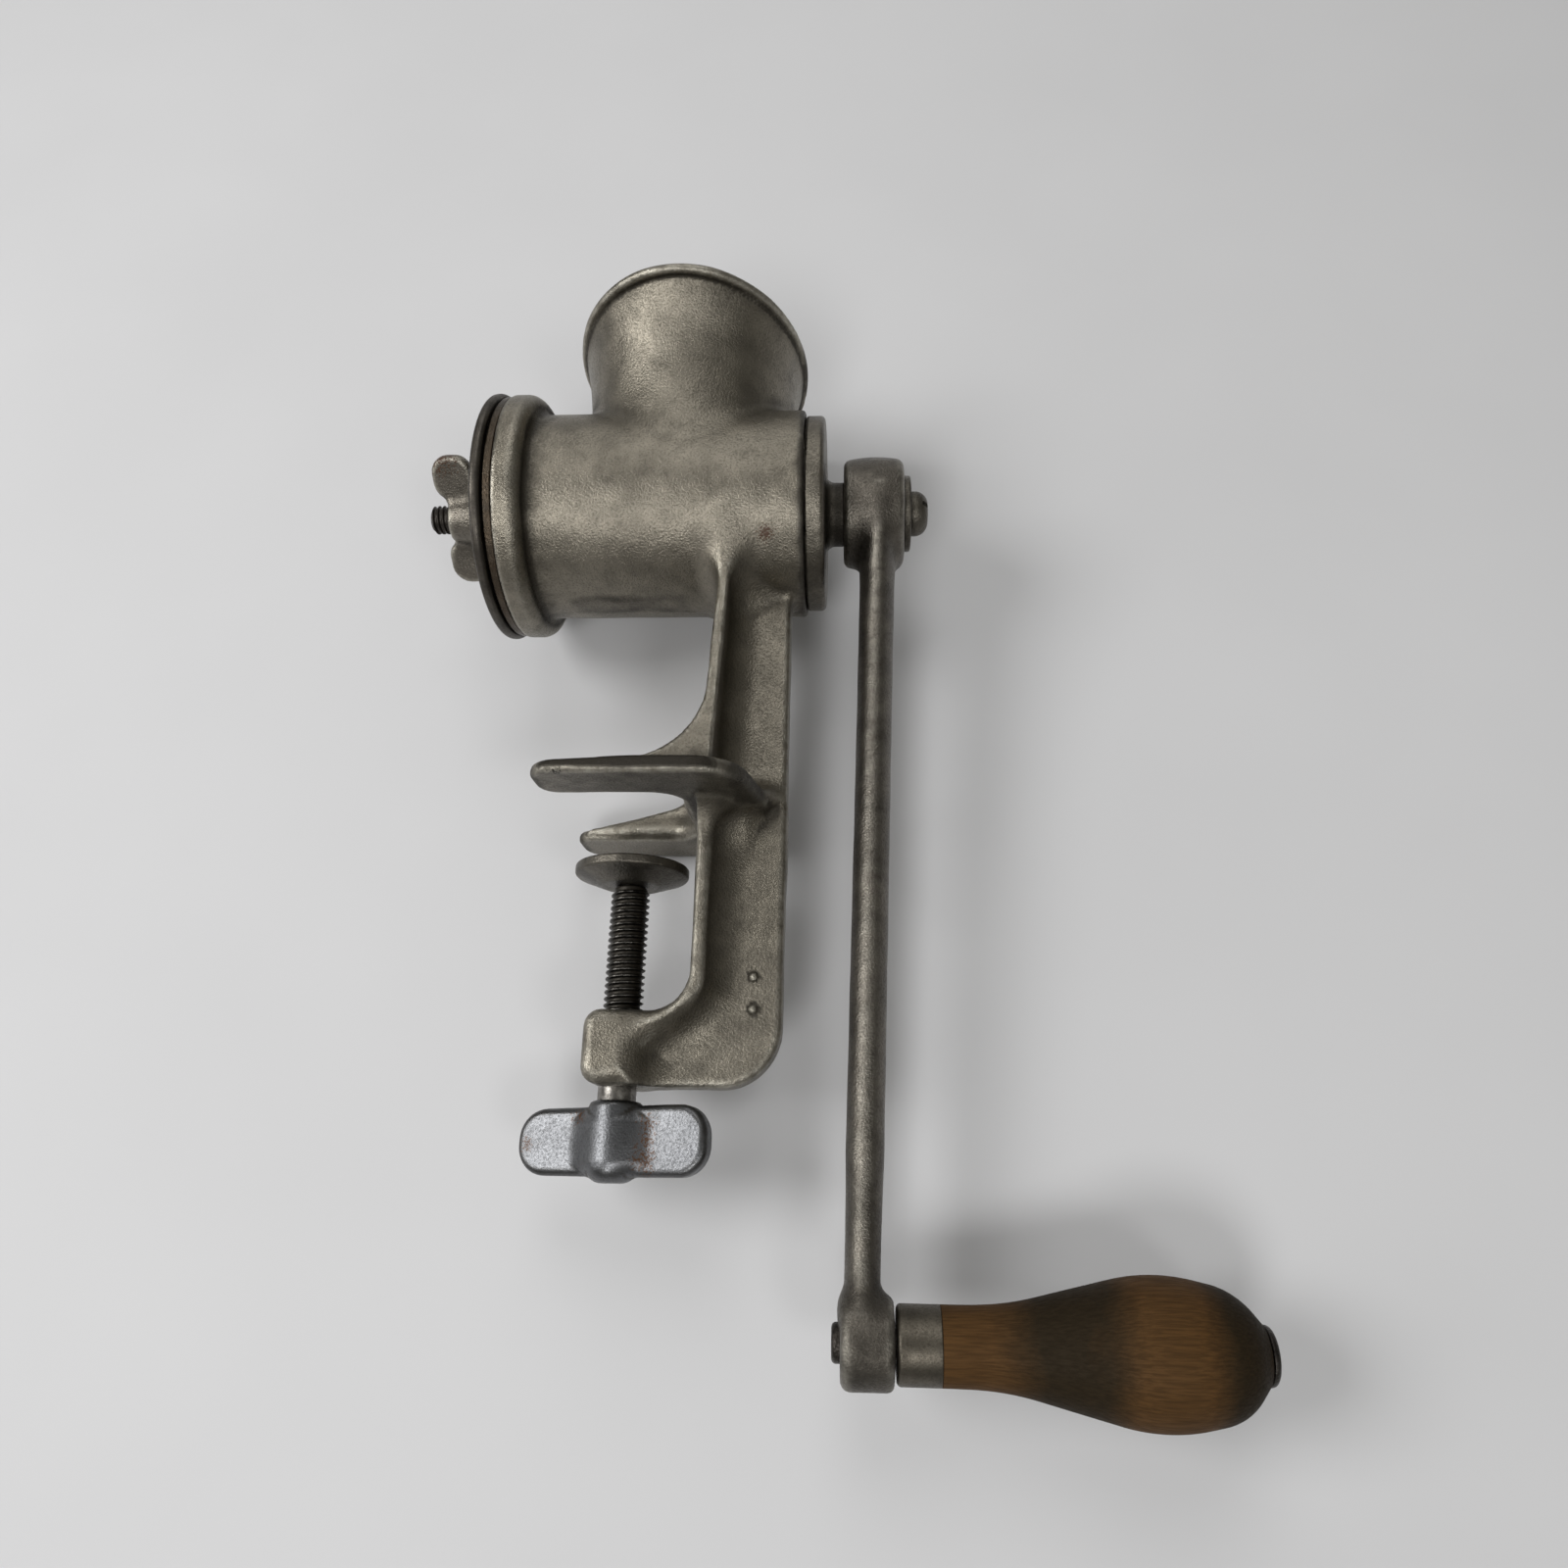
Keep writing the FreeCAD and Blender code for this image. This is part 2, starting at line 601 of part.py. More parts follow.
# Feed screw: tapered core, one flight, rear journal and collar, neck and two square ends
feed_body = new_body("feed_screw")
core_front = size("flange_face") + 0.8
journal_front = size("barrel_back") - size("journal_length")
collar_front = size("barrel_back") + 0.25
collar_back = collar_front + size("collar_thickness")
turned(feed_body, "feed_turning", [
    (core_front, 0, 0),
    (core_front, size("core_radius_front"), 1.0),
    (journal_front, size("core_radius_back"), 4.0),
    (journal_front, size("journal_radius"), 0.6),
    (collar_front, size("journal_radius"), 0),
    (collar_front, size("collar_radius"), 0.8),
    (collar_back, size("collar_radius"), 1.4),
    (collar_back, size("neck_radius"), 2.6),
    (size("hub_inner"), size("neck_radius"), 0.3),
    (size("hub_inner"), 0, 0),
], lift=axis_height)
flight_start = core_front + 2.5
thread(feed_body, "flight", [
    (flight_start - 2.3, size("core_radius_back") - 2.5, 0),
    (flight_start - 1.2, size("flight_radius"), 0),
    (flight_start + 1.2, size("flight_radius"), 0),
    (flight_start + 2.3, size("core_radius_back") - 2.5, 0),
], size("flight_pitch"), journal_front - flight_start - 3, "H_Axis", axis_height)
square_bar(feed_body, "front_square", cutter_nose + 0.5, core_front + 1, size("square_front"), axis_height)
square_bar(feed_body, "rear_square", size("hub_inner") - 1, size("hub_outer") - 0.8, size("square_back"),
           axis_height)
stud_hole = new_sketch(feed_body, "stud_hole_outline", "YZ_Plane", cutter_nose, axis_height)
draw_circle(stud_hole, 0, 0, size("stud_radius") - 0.6)
cut(feed_body, "stud_hole", stud_hole, 20, True)
screw_hole = new_sketch(feed_body, "screw_hole_outline", "YZ_Plane", size("hub_outer"), axis_height)
draw_circle(screw_hole, 0, 0, size("screw_radius"))
cut(feed_body, "screw_hole", screw_hole, 16, False)

# Threaded stud and wing nut
stud_body = new_body("cutter_stud")
stud_core = size("stud_radius") - 0.6
turned(stud_body, "stud_turning", [
    (size("stud_end"), 0, 0),
    (size("stud_end"), stud_core, 0.6),
    (cutter_nose + 19, stud_core, 0.4),
    (cutter_nose + 19, 0, 0),
], lift=axis_height)
thread_start = size("stud_end") + size("stud_pitch") / 2 + 0.4
thread(stud_body, "stud_thread", [
    (thread_start - size("stud_pitch") * 0.45, stud_core - 0.1, 0),
    (thread_start - size("stud_pitch") * 0.08, size("stud_radius"), 0),
    (thread_start + size("stud_pitch") * 0.08, size("stud_radius"), 0),
    (thread_start + size("stud_pitch") * 0.45, stud_core - 0.1, 0),
], size("stud_pitch"), cutter_nose - size("stud_end") - size("stud_pitch") * 1.6, "H_Axis", axis_height)

nut_body = new_body("cutter_wing_nut")
nut_back = cutter_nose - 0.3
ear_left = size("ear_centre") - size("ear_radius")
ear_right = size("ear_centre") + size("ear_radius")
ear_top = size("ear_reach") + size("ear_radius")
ear_round = size("ear_radius") * 0.75
waist = size("nut_radius") * 0.8
pad(nut_body, "ears", "XZ_Plane", [
    (ear_left, ear_top, ear_round),
    (size("nut_front") + 0.8, waist, 0),
    (size("nut_front") + 0.8, -waist, 0),
    (ear_left, -ear_top, ear_round),
    (ear_right, -ear_top, ear_round),
    (nut_back - 2.4, -waist, 0),
    (nut_back - 2.4, waist, 0),
    (ear_right, ear_top, ear_round),
], half=size("ear_thickness") / 2, lift=axis_height)
round_edges(nut_body, "ear_edges", 1.2, False,
            lambda at: abs(abs(at.y) - size("ear_thickness").value / 2) < 0.05)
turned(nut_body, "nut_turning", [
    (size("nut_front"), 0, 0),
    (size("nut_front"), size("nut_radius"), 1.0),
    (nut_back, size("nut_radius") + 1.6, 0.8),
    (nut_back, 0, 0),
], lift=axis_height)
nut_hole = new_sketch(nut_body, "nut_hole_outline", "YZ_Plane", nut_back + 1, axis_height)
draw_circle(nut_hole, 0, 0, size("stud_radius") + 0.08)
cut(nut_body, "nut_hole", nut_hole, nut_back - size("nut_front") + 3, False)
nut_axis = Vector(0, 0, axis_height.value)
nut_body.Placement = Placement(Vector(0, 0, 0), Rotation(Vector(1, 0, 0), size("nut_angle").value), nut_axis)

# Crank: hub, leaning bar and handle boss
handle_height = axis_height - size("crank_length")
hub_body = new_body("crank_hub")
turned(hub_body, "hub_turning", [
    (size("hub_inner"), 0, 0),
    (size("hub_inner"), size("hub_radius") - 0.8, 2.0),
    (size("hub_outer"), size("hub_radius"), 2.4),
    (size("hub_outer"), 0, 0),
], lift=axis_height)
boss_body = new_body("crank_boss")
turned(boss_body, "boss_turning", [
    (size("boss_inner"), 0, 0),
    (size("boss_inner"), size("boss_radius"), 2.2),
    (size("boss_outer"), size("boss_radius"), 1.6),
    (size("boss_outer"), 0, 0),
], lift=handle_height)


bar_top = size("bar_top_centre").value
bar_foot = size("bar_foot_centre").value
bar_half = size("bar_half_thickness").value
bar_width = size("bar_half_width").value
bar_stations = []
for share, thicker, wider in ((0.02, 1.1, 2.6), (0.10, 0.2, 0.8), (0.36, 0.0, 0.0), (0.81, -0.1, -0.6),
                              (0.94, 0.2, -0.2), (0.995, 0.7, 0.8)):
    bar_height = axis_height.value - share * size("crank_length").value
    bar_centre = bar_top + share * (bar_foot - bar_top)
    bar_stations.append(oval(bar_centre, bar_height, bar_half + thicker, bar_width + wider))
bar = doc.addObject("Part::Feature", "crank_bar")
bar.Shape = Part.makeLoft(bar_stations, True, False)
crank_mass = doc.addObject("Part::MultiFuse", "crank_mass")
crank_mass.Shapes = [hub_body, boss_body, bar]
crank_holes_body = new_body("crank_square_hole")
square_bar(crank_holes_body, "square_hole", size("hub_inner") - 2, size("hub_outer") + 2, size("square_back"),
           axis_height)
spindle_hole = doc.addObject("Part::Cylinder", "spindle_hole")
bind(spindle_hole, "Radius", size("spindle_radius"))
bind(spindle_hole, "Height", size("boss_outer") - size("boss_inner") + 4)
spindle_hole.Placement = Placement(
    Vector(size("boss_inner").value - 2, 0, handle_height.value), Rotation(Vector(0, 1, 0), 90))
crank_holes = doc.addObject("Part::MultiFuse", "crank_holes")
crank_holes.Shapes = [crank_holes_body, spindle_hole]
crank = doc.addObject("Part::Cut", "crank_arm")
crank.Base = crank_mass
crank.Tool = crank_holes
crank.Label = "crank_arm"
doc.recompute()

# Washer and screw that hold the crank
washer_body = new_body("crank_washer")
washer_out = size("hub_outer") + size("washer_thickness")
turned(washer_body, "washer_turning", [
    (size("hub_outer"), size("screw_radius") + 0.2, 0),
    (size("hub_outer"), size("washer_radius"), 0.4),
    (washer_out, size("washer_radius"), 0.6),
    (washer_out, size("screw_radius") + 0.2, 0),
], lift=axis_height)
screw_body = new_body("crank_screw")
head_top = washer_out + size("screw_head_height")
turned(screw_body, "screw_turning", [
    (size("hub_outer") - 15, 0, 0),
    (size("hub_outer") - 15, size("screw_radius"), 0.6),
    (washer_out, size("screw_radius"), 0),
    (washer_out, size("screw_head_radius"), 0.5),
    (head_top, size("screw_head_radius"), 3.6),
    (head_top, 0, 0),
], lift=axis_height)
slot_cut = new_sketch(screw_body, "driver_slot_outline", "YZ_Plane", head_top + 1, axis_height)
draw_outline(slot_cut, [(-9, -0.65, 0), (9, -0.65, 0), (9, 0.65, 0), (-9, 0.65, 0)])
cut(screw_body, "driver_slot", slot_cut, 2.6, False)

# Handle: spindle, ferrule and wooden grip
spindle_body = new_body("handle_spindle")
turned(spindle_body, "spindle_turning", [
    (size("boss_inner") - size("rivet_length"), 0, 0),
    (size("boss_inner") - size("rivet_length"), size("rivet_radius"), 1.0),
    (size("boss_inner"), size("rivet_radius"), 0),
    (size("boss_inner"), size("spindle_radius"), 0),
    (size("grip_end") + 0.25, size("spindle_radius"), 0),
    (size("grip_end") + 0.25, size("button_radius"), 0.4),
    (size("grip_end") + 0.25 + size("button_height"), size("button_radius"), 1.2),
    (size("grip_end") + 0.25 + size("button_height"), 0, 0),
], lift=handle_height)
ferrule_body = new_body("handle_ferrule")
grip_bore = size("spindle_radius") + 0.1
turned(ferrule_body, "ferrule_turning", [
    (size("ferrule_start"), grip_bore, 0),
    (size("ferrule_start"), size("ferrule_radius"), 1.0),
    (size("ferrule_end"), size("ferrule_radius"), 0.3),
    (size("ferrule_end"), size("ferrule_radius") - size("ferrule_wall"), 0),
    (size("ferrule_start") + 1, size("ferrule_radius") - size("ferrule_wall"), 0),
    (size("ferrule_start") + 1, grip_bore, 0),
], lift=handle_height)
grip_body = new_body("handle_grip")
belly = size("grip_belly_radius")
turned(grip_body, "grip_turning", [
    (size("ferrule_start") + 1, grip_bore, 0),
    (size("ferrule_start") + 1, size("ferrule_radius") - size("ferrule_wall"), 0),
    (size("ferrule_end"), size("ferrule_radius") - size("ferrule_wall"), 0),
    (size("ferrule_end"), size("ferrule_radius"), 0),
    (size("ferrule_end") + 12, size("ferrule_radius"), 26),
    (size("grip_end") - 21.8, belly + 0.7, 40),
    (size("grip_end") - 5.3, belly - 2.8, 14),
    (size("grip_end"), size("button_radius") + 0.3, 0.6),
    (size("grip_end"), grip_bore, 0),
], lift=handle_height)

# Clamp: pad, screw and thumb wing
pad_body = new_body("clamp_pad")
pad_top = size("pad_top")
pad_floor = pad_top - size("pad_height")
turned(pad_body, "pad_turning", [
    (3.1, pad_top - 1.9, 0),
    (5.6, pad_top - 1.9, 0.3),
    (5.6, pad_top, 0.3),
    (size("pad_radius"), pad_top, 0.6),
    (size("pad_radius"), pad_top - 2.3, 0.8),
    (7.2, pad_floor, 3.0),
    (3.1, pad_floor, 0),
], axis="V_Axis")
clamp_body = new_body("clamp_screw")
clamp_core = size("clamp_radius") - size("thread_depth")
thread_foot = size("arm_bottom") + 4.5
turned(clamp_body, "clamp_turning", [
    (0, pad_top - 0.4, 0),
    (5.2, pad_top - 0.4, 0.5),
    (5.2, pad_top - 1.7, 0),
    (3.0, pad_top - 1.7, 0),
    (3.0, pad_floor - 0.2, 0),
    (clamp_core, pad_floor - 0.2, 0.4),
    (clamp_core, thread_foot, 0),
    (size("shank_radius"), thread_foot - 0.4, 0),
    (size("shank_radius"), size("wing_hub_top") - 11, 0.5),
    (0, size("wing_hub_top") - 11, 0),
], axis="V_Axis")
clamp_start = thread_foot + size("clamp_pitch") / 2
thread(clamp_body, "clamp_thread", [
    (clamp_core - 0.12, clamp_start - size("clamp_pitch") * 0.46, 0),
    (size("clamp_radius"), clamp_start - size("clamp_pitch") * 0.09, 0),
    (size("clamp_radius"), clamp_start + size("clamp_pitch") * 0.09, 0),
    (clamp_core - 0.12, clamp_start + size("clamp_pitch") * 0.46, 0),
], size("clamp_pitch"), pad_floor - clamp_start - size("clamp_pitch") * 0.8, "V_Axis")

wing_body = new_body("clamp_thumb_wing")
wing_reach = size("wing_half_length")
pad(wing_body, "wing_plate", "XZ_Plane", [
    (-wing_reach, size("wing_bottom"), 6.8),
    (wing_reach, size("wing_bottom"), 6.8),
    (wing_reach, size("wing_top"), 6.8),
    (-wing_reach, size("wing_top"), 6.8),
], half=size("wing_half_thickness"))
round_edges(wing_body, "wing_edges", 1.6, False, lambda at: True)
turned(wing_body, "wing_hub", [
    (0, size("wing_hub_top"), 0),
    (size("wing_hub_radius"), size("wing_hub_top"), 1.2),
    (size("wing_hub_radius"), size("wing_hub_bottom"), 4.0),
    (0, size("wing_hub_bottom"), 0),
], axis="V_Axis")
round_edges(wing_body, "wing_coves", 3.0, True, lambda at: True)
shank_socket = new_sketch(wing_body, "shank_socket_outline", "XY_Plane", size("wing_hub_top"))
draw_circle(shank_socket, 0, 0, size("shank_radius"))
cut(wing_body, "shank_socket", shank_socket, 11, False)
wing_body.Placement = Placement(Vector(0, 0, 0), Rotation(Vector(0, 0, 1), size("wing_angle").value))
doc.recompute()

# Check every object, then write one solid per piece
PIECES = [casting, ring_body, cutter_body, feed_body, stud_body, nut_body, crank, washer_body, screw_body,
          spindle_body, ferrule_body, grip_body, pad_body, clamp_body, wing_body]
for item in doc.Objects:
    if "Invalid" in item.State or "Error" in item.State:
        raise RuntimeError(item.Name + " failed to build")
for piece in PIECES:
    if piece.Shape.isNull() or not piece.Shape.isValid() or len(piece.Shape.Solids) != 1:
        raise RuntimeError(piece.Label + " is not one valid solid")
os.makedirs("parts", exist_ok=True)
for piece in PIECES:
    piece.Shape.Solids[0].exportStep(os.path.join("parts", piece.Label + ".step"))
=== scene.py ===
import math

import bpy
import numpy as np
from bpy.props import FloatProperty, FloatVectorProperty, PointerProperty
from mathutils import Matrix, Vector


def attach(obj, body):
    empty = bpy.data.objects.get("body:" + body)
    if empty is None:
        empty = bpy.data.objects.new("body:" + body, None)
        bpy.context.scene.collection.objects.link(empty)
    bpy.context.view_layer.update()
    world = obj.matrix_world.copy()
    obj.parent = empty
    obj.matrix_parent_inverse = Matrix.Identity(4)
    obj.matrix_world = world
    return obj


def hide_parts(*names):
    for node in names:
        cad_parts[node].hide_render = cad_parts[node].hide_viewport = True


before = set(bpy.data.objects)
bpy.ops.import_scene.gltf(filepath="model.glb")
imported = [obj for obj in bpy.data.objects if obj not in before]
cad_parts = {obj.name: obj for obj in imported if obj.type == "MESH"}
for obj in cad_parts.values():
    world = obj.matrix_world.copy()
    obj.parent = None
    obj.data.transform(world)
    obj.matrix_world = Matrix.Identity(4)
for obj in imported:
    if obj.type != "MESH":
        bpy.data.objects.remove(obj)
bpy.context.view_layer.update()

bl_info = {
    "name": "Hand Crank Meat Grinder",
    "version": (1, 0, 0),
    "blender": (4, 5, 0),
    "location": "View3D > Sidebar > Grinder",
    "description": "Cast, turned and wooden surfaces of a table-clamp meat grinder",
    "category": "Add Mesh",
}

MM = 0.001
BARREL_AXIS = 89.3
HANDLE_AXIS = -118.8
HOPPER_CENTRE = 8.7
RIM_HEIGHT = 139.3


def length(name, description, millimetres):
    """A length property with its default in millimetres."""
    return FloatProperty(name=name, description=description, default=millimetres * MM, min=0.0,
                         subtype="DISTANCE", unit="LENGTH", precision=4)


def colour(name, description, rgb):
    """A colour property."""
    return FloatVectorProperty(name=name, description=description, default=rgb, size=3, min=0.0, max=1.0,
                               subtype="COLOR")


def share(name, description, default):
    """A property from 0 to 1."""
    return FloatProperty(name=name, description=description, default=default, min=0.0, max=1.0,
                         subtype="FACTOR")


class GrinderSizes(bpy.types.PropertyGroup):
    """Sizes of the surfaces."""
    casting_step: length("Casting step", "Spacing of the casting's surface points", 0.9)
    small_step: length("Small step", "Spacing of the surface points of the smaller cast pieces", 0.55)
    cast_wobble: length("Cast wobble", "How far the cast surfaces wander", 0.09)
    barrel_radius: length("Barrel", "Outside radius of the barrel", 27.9)
    flange_radius: length("Flange", "Radius of the barrel's front flange", 33.3)
    bore_radius: length("Bore", "Inside radius of the barrel", 23.6)
    hopper_wall: length("Hopper wall", "Thickness of the hopper", 3.6)
    web_half: length("Web", "Half thickness of the leg's web", 4.2)
    web_cove: length("Web cove", "Hollow between the leg's flange and web", 8.5)
    foot_height: length("Feet", "Thickness of the fork's feet", 4.2)
    crank_half_thickness: length("Crank bar", "Half thickness of the crank's bar", 4.5)
    crank_half_width: length("Crank bar width", "Half width of the crank's bar", 6.4)
    clamp_radius: length("Clamp screw", "Outside radius of the clamp screw's thread", 4.76)
    clamp_pitch: length("Clamp pitch", "Pitch of the clamp screw", 1.5875)
    stud_radius: length("Stud", "Outside radius of the cutter's stud", 3.97)
    stud_pitch: length("Stud pitch", "Pitch of the cutter's stud", 1.41)
    grip_radius: length("Grip", "Thickest radius of the wooden grip", 15.4)


class GrinderFinish(bpy.types.PropertyGroup):
    """Colours and wear of the surfaces."""
    tin: colour("Tin", "Worn tin of the casting", (0.275, 0.25, 0.203))
    # edge colour of tin: wear, and on the casting's near foot a painted highlight
    worn_and_highlit_tin: colour("Bright tin", "Rubbed tin on edges", (0.50, 0.475, 0.41))
    iron: colour("Iron", "Bare iron of the crank", (0.175, 0.158, 0.134))
    dark_steel: colour("Dark steel", "Cutter, threads and spindle", (0.055, 0.049, 0.045))
    # dark colour of the hollows: dirt, laid together with painted shade
    grime_and_painted_shade: colour("Grime and Painted Shade", "Dirt in the hollows", (0.022, 0.018, 0.012))
    rust: colour("Rust", "Rust spots", (0.062, 0.027, 0.011))
    wood_dark: colour("Dark wood", "Oiled wood", (0.022, 0.0145, 0.0065))
    wood_light: colour("Light wood", "Worn wood", (0.087, 0.043, 0.0138))
    # how much of that dark colour, dirt with painted shade, is laid
    grime_and_painted_shade_amount: share("Grime and Painted Shade", "How much dirt lies in the hollows", 0.86)
    # how much edge colour is laid: wear together with painted light
    wear_and_painted_light_amount: share("Wear", "How far the edges are rubbed bright", 0.7)


class GrinderStage(bpy.types.PropertyGroup):
    """Floor, light and camera."""
    floor: colour("Floor", "Pale surface that the grinder lies on", (0.66, 0.66, 0.67))
    room: colour("Room", "Dim room that the metal reflects", (0.17, 0.167, 0.155))
    backdrop: colour("Backdrop", "Pale surroundings behind the grinder", (0.62, 0.62, 0.625))
    lamp_power: FloatProperty(name="Lamps", description="Power that each lamp takes its share of",
                              default=16.5, min=0.0, unit="POWER")
    lens: FloatProperty(name="Lens", description="Focal length of the camera", default=26.05, min=1.0,
                        subtype="DISTANCE_CAMERA", unit="CAMERA")


def sizes():
    """The size settings, in millimetres by name."""
    group = bpy.context.scene.grinder_sizes
    return lambda name: getattr(group, name) / MM


# Flat outlines and distance fields, in millimetres
def rounded(corners, chord=0.8):
    """A closed outline through corners (u, v, radius): each corner with a radius becomes the arc that touches
    its two sides, in steps of about one chord."""
    runs = []
    for index, (u, v, radius) in enumerate(corners):
        corner = np.array((u, v), float)
        if radius == 0:
            runs.append(corner[None])
            continue
        before = np.array(corners[index - 1][:2], float) - corner
        after = np.array(corners[(index + 1) % len(corners)][:2], float) - corner
        before /= np.linalg.norm(before)
        after /= np.linalg.norm(after)
        half = math.acos(float(np.clip(before @ after, -1, 1))) / 2
        middle = (before + after) / np.linalg.norm(before + after)
        centre = corner + middle * radius / math.sin(half)
        start = corner + before * radius / math.tan(half) - centre
        stop = corner + after * radius / math.tan(half) - centre
        sweep = math.atan2(start[0] * stop[1] - start[1] * stop[0], start @ stop)
        steps = max(6, math.ceil(radius * abs(sweep) / chord))
        angle = math.atan2(start[1], start[0]) + sweep * np.linspace(0, 1, steps + 1)
        runs.append(centre + radius * np.stack((np.cos(angle), np.sin(angle)), 1))
    return np.concatenate(runs)


class Template:
    """Signed distance to a closed outline, negative inside. It is worked out once on a fine flat grid, as the
    distance to the nearest side with its sign from the number of sides that a level ray crosses, and is read
    between the grid's points by linear interpolation."""

    def __init__(self, corners, margin=22.0, step=0.3):
        outline = rounded(corners)
        self.low = outline.min(0) - margin
        self.step = step
        count = np.ceil((outline.max(0) + margin - self.low) / step).astype(int) + 1
        u = self.low[0] + step * np.arange(count[0])
        v = self.low[1] + step * np.arange(count[1])
        squared = np.full(count, np.inf)
        inside = np.zeros(count, bool)
        for start, stop in zip(outline, np.roll(outline, -1, axis=0)):
            side = stop - start
            from_u = u[:, None] - start[0]
            from_v = v[None, :] - start[1]
            along = np.clip((from_u * side[0] + from_v * side[1]) / max(side @ side, 1e-12), 0, 1)
            gap = (from_u - along * side[0]) ** 2 + (from_v - along * side[1]) ** 2
            squared = np.minimum(squared, gap)
            if side[1] != 0:
                spans = (from_v >= 0) != (from_v >= side[1])
                inside ^= spans & (from_u < from_v * side[0] / side[1])
        distance = np.sqrt(squared)
        self.table = np.where(inside, -distance, distance)

    def __call__(self, u, v):
        u, v = np.broadcast_arrays(u, v)
        at_u = np.clip((u - self.low[0]) / self.step, 0, self.table.shape[0] - 1.001)
        at_v = np.clip((v - self.low[1]) / self.step, 0, self.table.shape[1] - 1.001)
        i = at_u.astype(int)
        j = at_v.astype(int)
        a = at_u - i
        b = at_v - j
        near = self.table[i, j] * (1 - b) + self.table[i, j + 1] * b
        far = self.table[i + 1, j] * (1 - b) + self.table[i + 1, j + 1] * b
        return near * (1 - a) + far * a


def prism(plan, depth, edge):
    """An outline carried straight: the larger of the distances in plan and in depth, with the edge between
    them rounded."""
    a = plan + edge
    b = depth + edge
    return np.minimum(np.maximum(a, b), 0) + np.hypot(np.maximum(a, 0), np.maximum(b, 0)) - edge


def joined(a, b, cove):
    """The union of two fields, with a hollow quarter round of that radius where they meet."""
    return np.maximum(cove, np.minimum(a, b)) - np.hypot(np.maximum(cove - a, 0), np.maximum(cove - b, 0))


def blended(a, b, reach):
    """The union of two fields, eased where they are nearly alike: a quarter of the reach is added where they
    are the same, and nothing where they differ by more than the reach."""
    near = np.maximum(1 - np.abs(a - b) / reach, 0)
    return np.minimum(a, b) - 0.25 * reach * near * near


def carved(a, b, edge):
    """The first field less the second, with the edge between them rounded."""
    return -joined(-a, b, edge)


def ramp(value, start, stop):
    """A smooth step from 0 at start to 1 at stop."""
    t = np.clip((value - start) / (stop - start), 0, 1)
    return t * t * (3 - 2 * t)


def wobble(x, y, z):
    """Long slow waves in three directions, as on a surface poured in sand."""
    waves = np.sin(0.31 * x + 0.23 * y + 1.7) + np.sin(0.29 * y - 0.37 * z + 0.4)
    waves = waves + np.sin(0.21 * z + 0.33 * x + 2.1)
    ripple = 0.6 * np.sin(0.71 * x - 0.53 * z) * np.sin(0.67 * y + 0.6)
    return (waves + ripple) / 3.6


def swung(a, b, degrees):
    """Two flat coordinates in axes that are turned by an angle."""
    turn = math.radians(degrees)
    return a * math.cos(turn) - b * math.sin(turn), a * math.sin(turn) + b * math.cos(turn)


# Surfaces
def slope_and_bend(field, points, reach):
    """The field's slope by central differences, and its bend: the sum of its second differences, which is
    above zero on outward edges and below zero in hollows."""
    x, y, z = points.T
    here = field(x, y, z)
    slope = np.empty_like(points)
    bend = np.zeros(len(points))
    for axis in range(3):
        shift = np.zeros(3)
        shift[axis] = reach
        ahead = field(x + shift[0], y + shift[1], z + shift[2])
        behind = field(x - shift[0], y - shift[1], z - shift[2])
        slope[:, axis] = (ahead - behind) / (2 * reach)
        bend += (ahead + behind - 2 * here) / reach ** 2
    return here, slope, bend


def skin(field, low, high, step):
    """Points and quads of the surface where a field is zero. Each cell of a box grid that the surface passes
    gets one point, the mean of the crossings on the cell's sides. Each side of the grid that is crossed joins
    the four cells round it. The points then slide along the field's slope on to zero."""
    axes = [np.arange(low[k] - 2 * step, high[k] + 3 * step, step) for k in range(3)]
    value = field(axes[0][:, None, None], axes[1][None, :, None], axes[2][None, None, :])
    value = np.where(np.abs(value) < 1e-6, 1e-6, value)
    cells = np.array(value.shape) - 1
    total = np.zeros((*cells, 3))
    count = np.zeros(cells)
    crossing = []
    for axis in range(3):
        turned = np.moveaxis(value, axis, 0)
        first = turned[:-1]
        last = turned[1:]
        crosses = (first < 0) != (last < 0)
        part = np.where(crosses, first / np.where(crosses, first - last, 1), 0)
        crossing.append((crosses, first < 0))
        sides = [k for k in range(3) if k != axis]
        for one in (0, 1):
            for two in (0, 1):
                window = (slice(None), slice(one, one + cells[sides[0]]), slice(two, two + cells[sides[1]]))
                hit = np.moveaxis(crosses[window], 0, axis)
                count += hit
                total[..., axis] += np.moveaxis(part[window], 0, axis)
                total[..., sides[0]] += one * hit
                total[..., sides[1]] += two * hit
    used = count > 0
    number = np.full(cells, -1)
    number[used] = np.arange(used.sum())
    corner = np.stack(np.nonzero(used), 1)
    points = np.array([a[0] for a in axes]) + step * (corner + total[used] / count[used][:, None])
    quads = []
    for axis in range(3):
        crosses, rising = crossing[axis]
        ahead = (axis + 1) % 3
        other = (axis + 2) % 3
        edge = np.stack(np.nonzero(np.moveaxis(crosses, 0, axis)), 1)
        keep = (edge[:, ahead] > 0) & (edge[:, other] > 0)
        keep &= (edge[:, ahead] < cells[ahead]) & (edge[:, other] < cells[other])
        edge = edge[keep]
        ring = []
        for back_ahead, back_other in ((1, 1), (0, 1), (0, 0), (1, 0)):
            cell = edge.copy()
            cell[:, ahead] -= back_ahead
            cell[:, other] -= back_other
            ring.append(number[tuple(cell.T)])
        ring = np.stack(ring, 1)
        outward = np.moveaxis(rising, 0, axis)[tuple(edge.T)]
        quads.append(np.where(outward[:, None], ring, ring[:, ::-1]))
    for _ in range(2):
        here, slope, _ = slope_and_bend(field, points, 0.05)
        move = here / np.maximum((slope ** 2).sum(1), 0.2)
        points -= slope * np.clip(move, -0.5 * step, 0.5 * step)[:, None]
    return points, np.concatenate(quads)


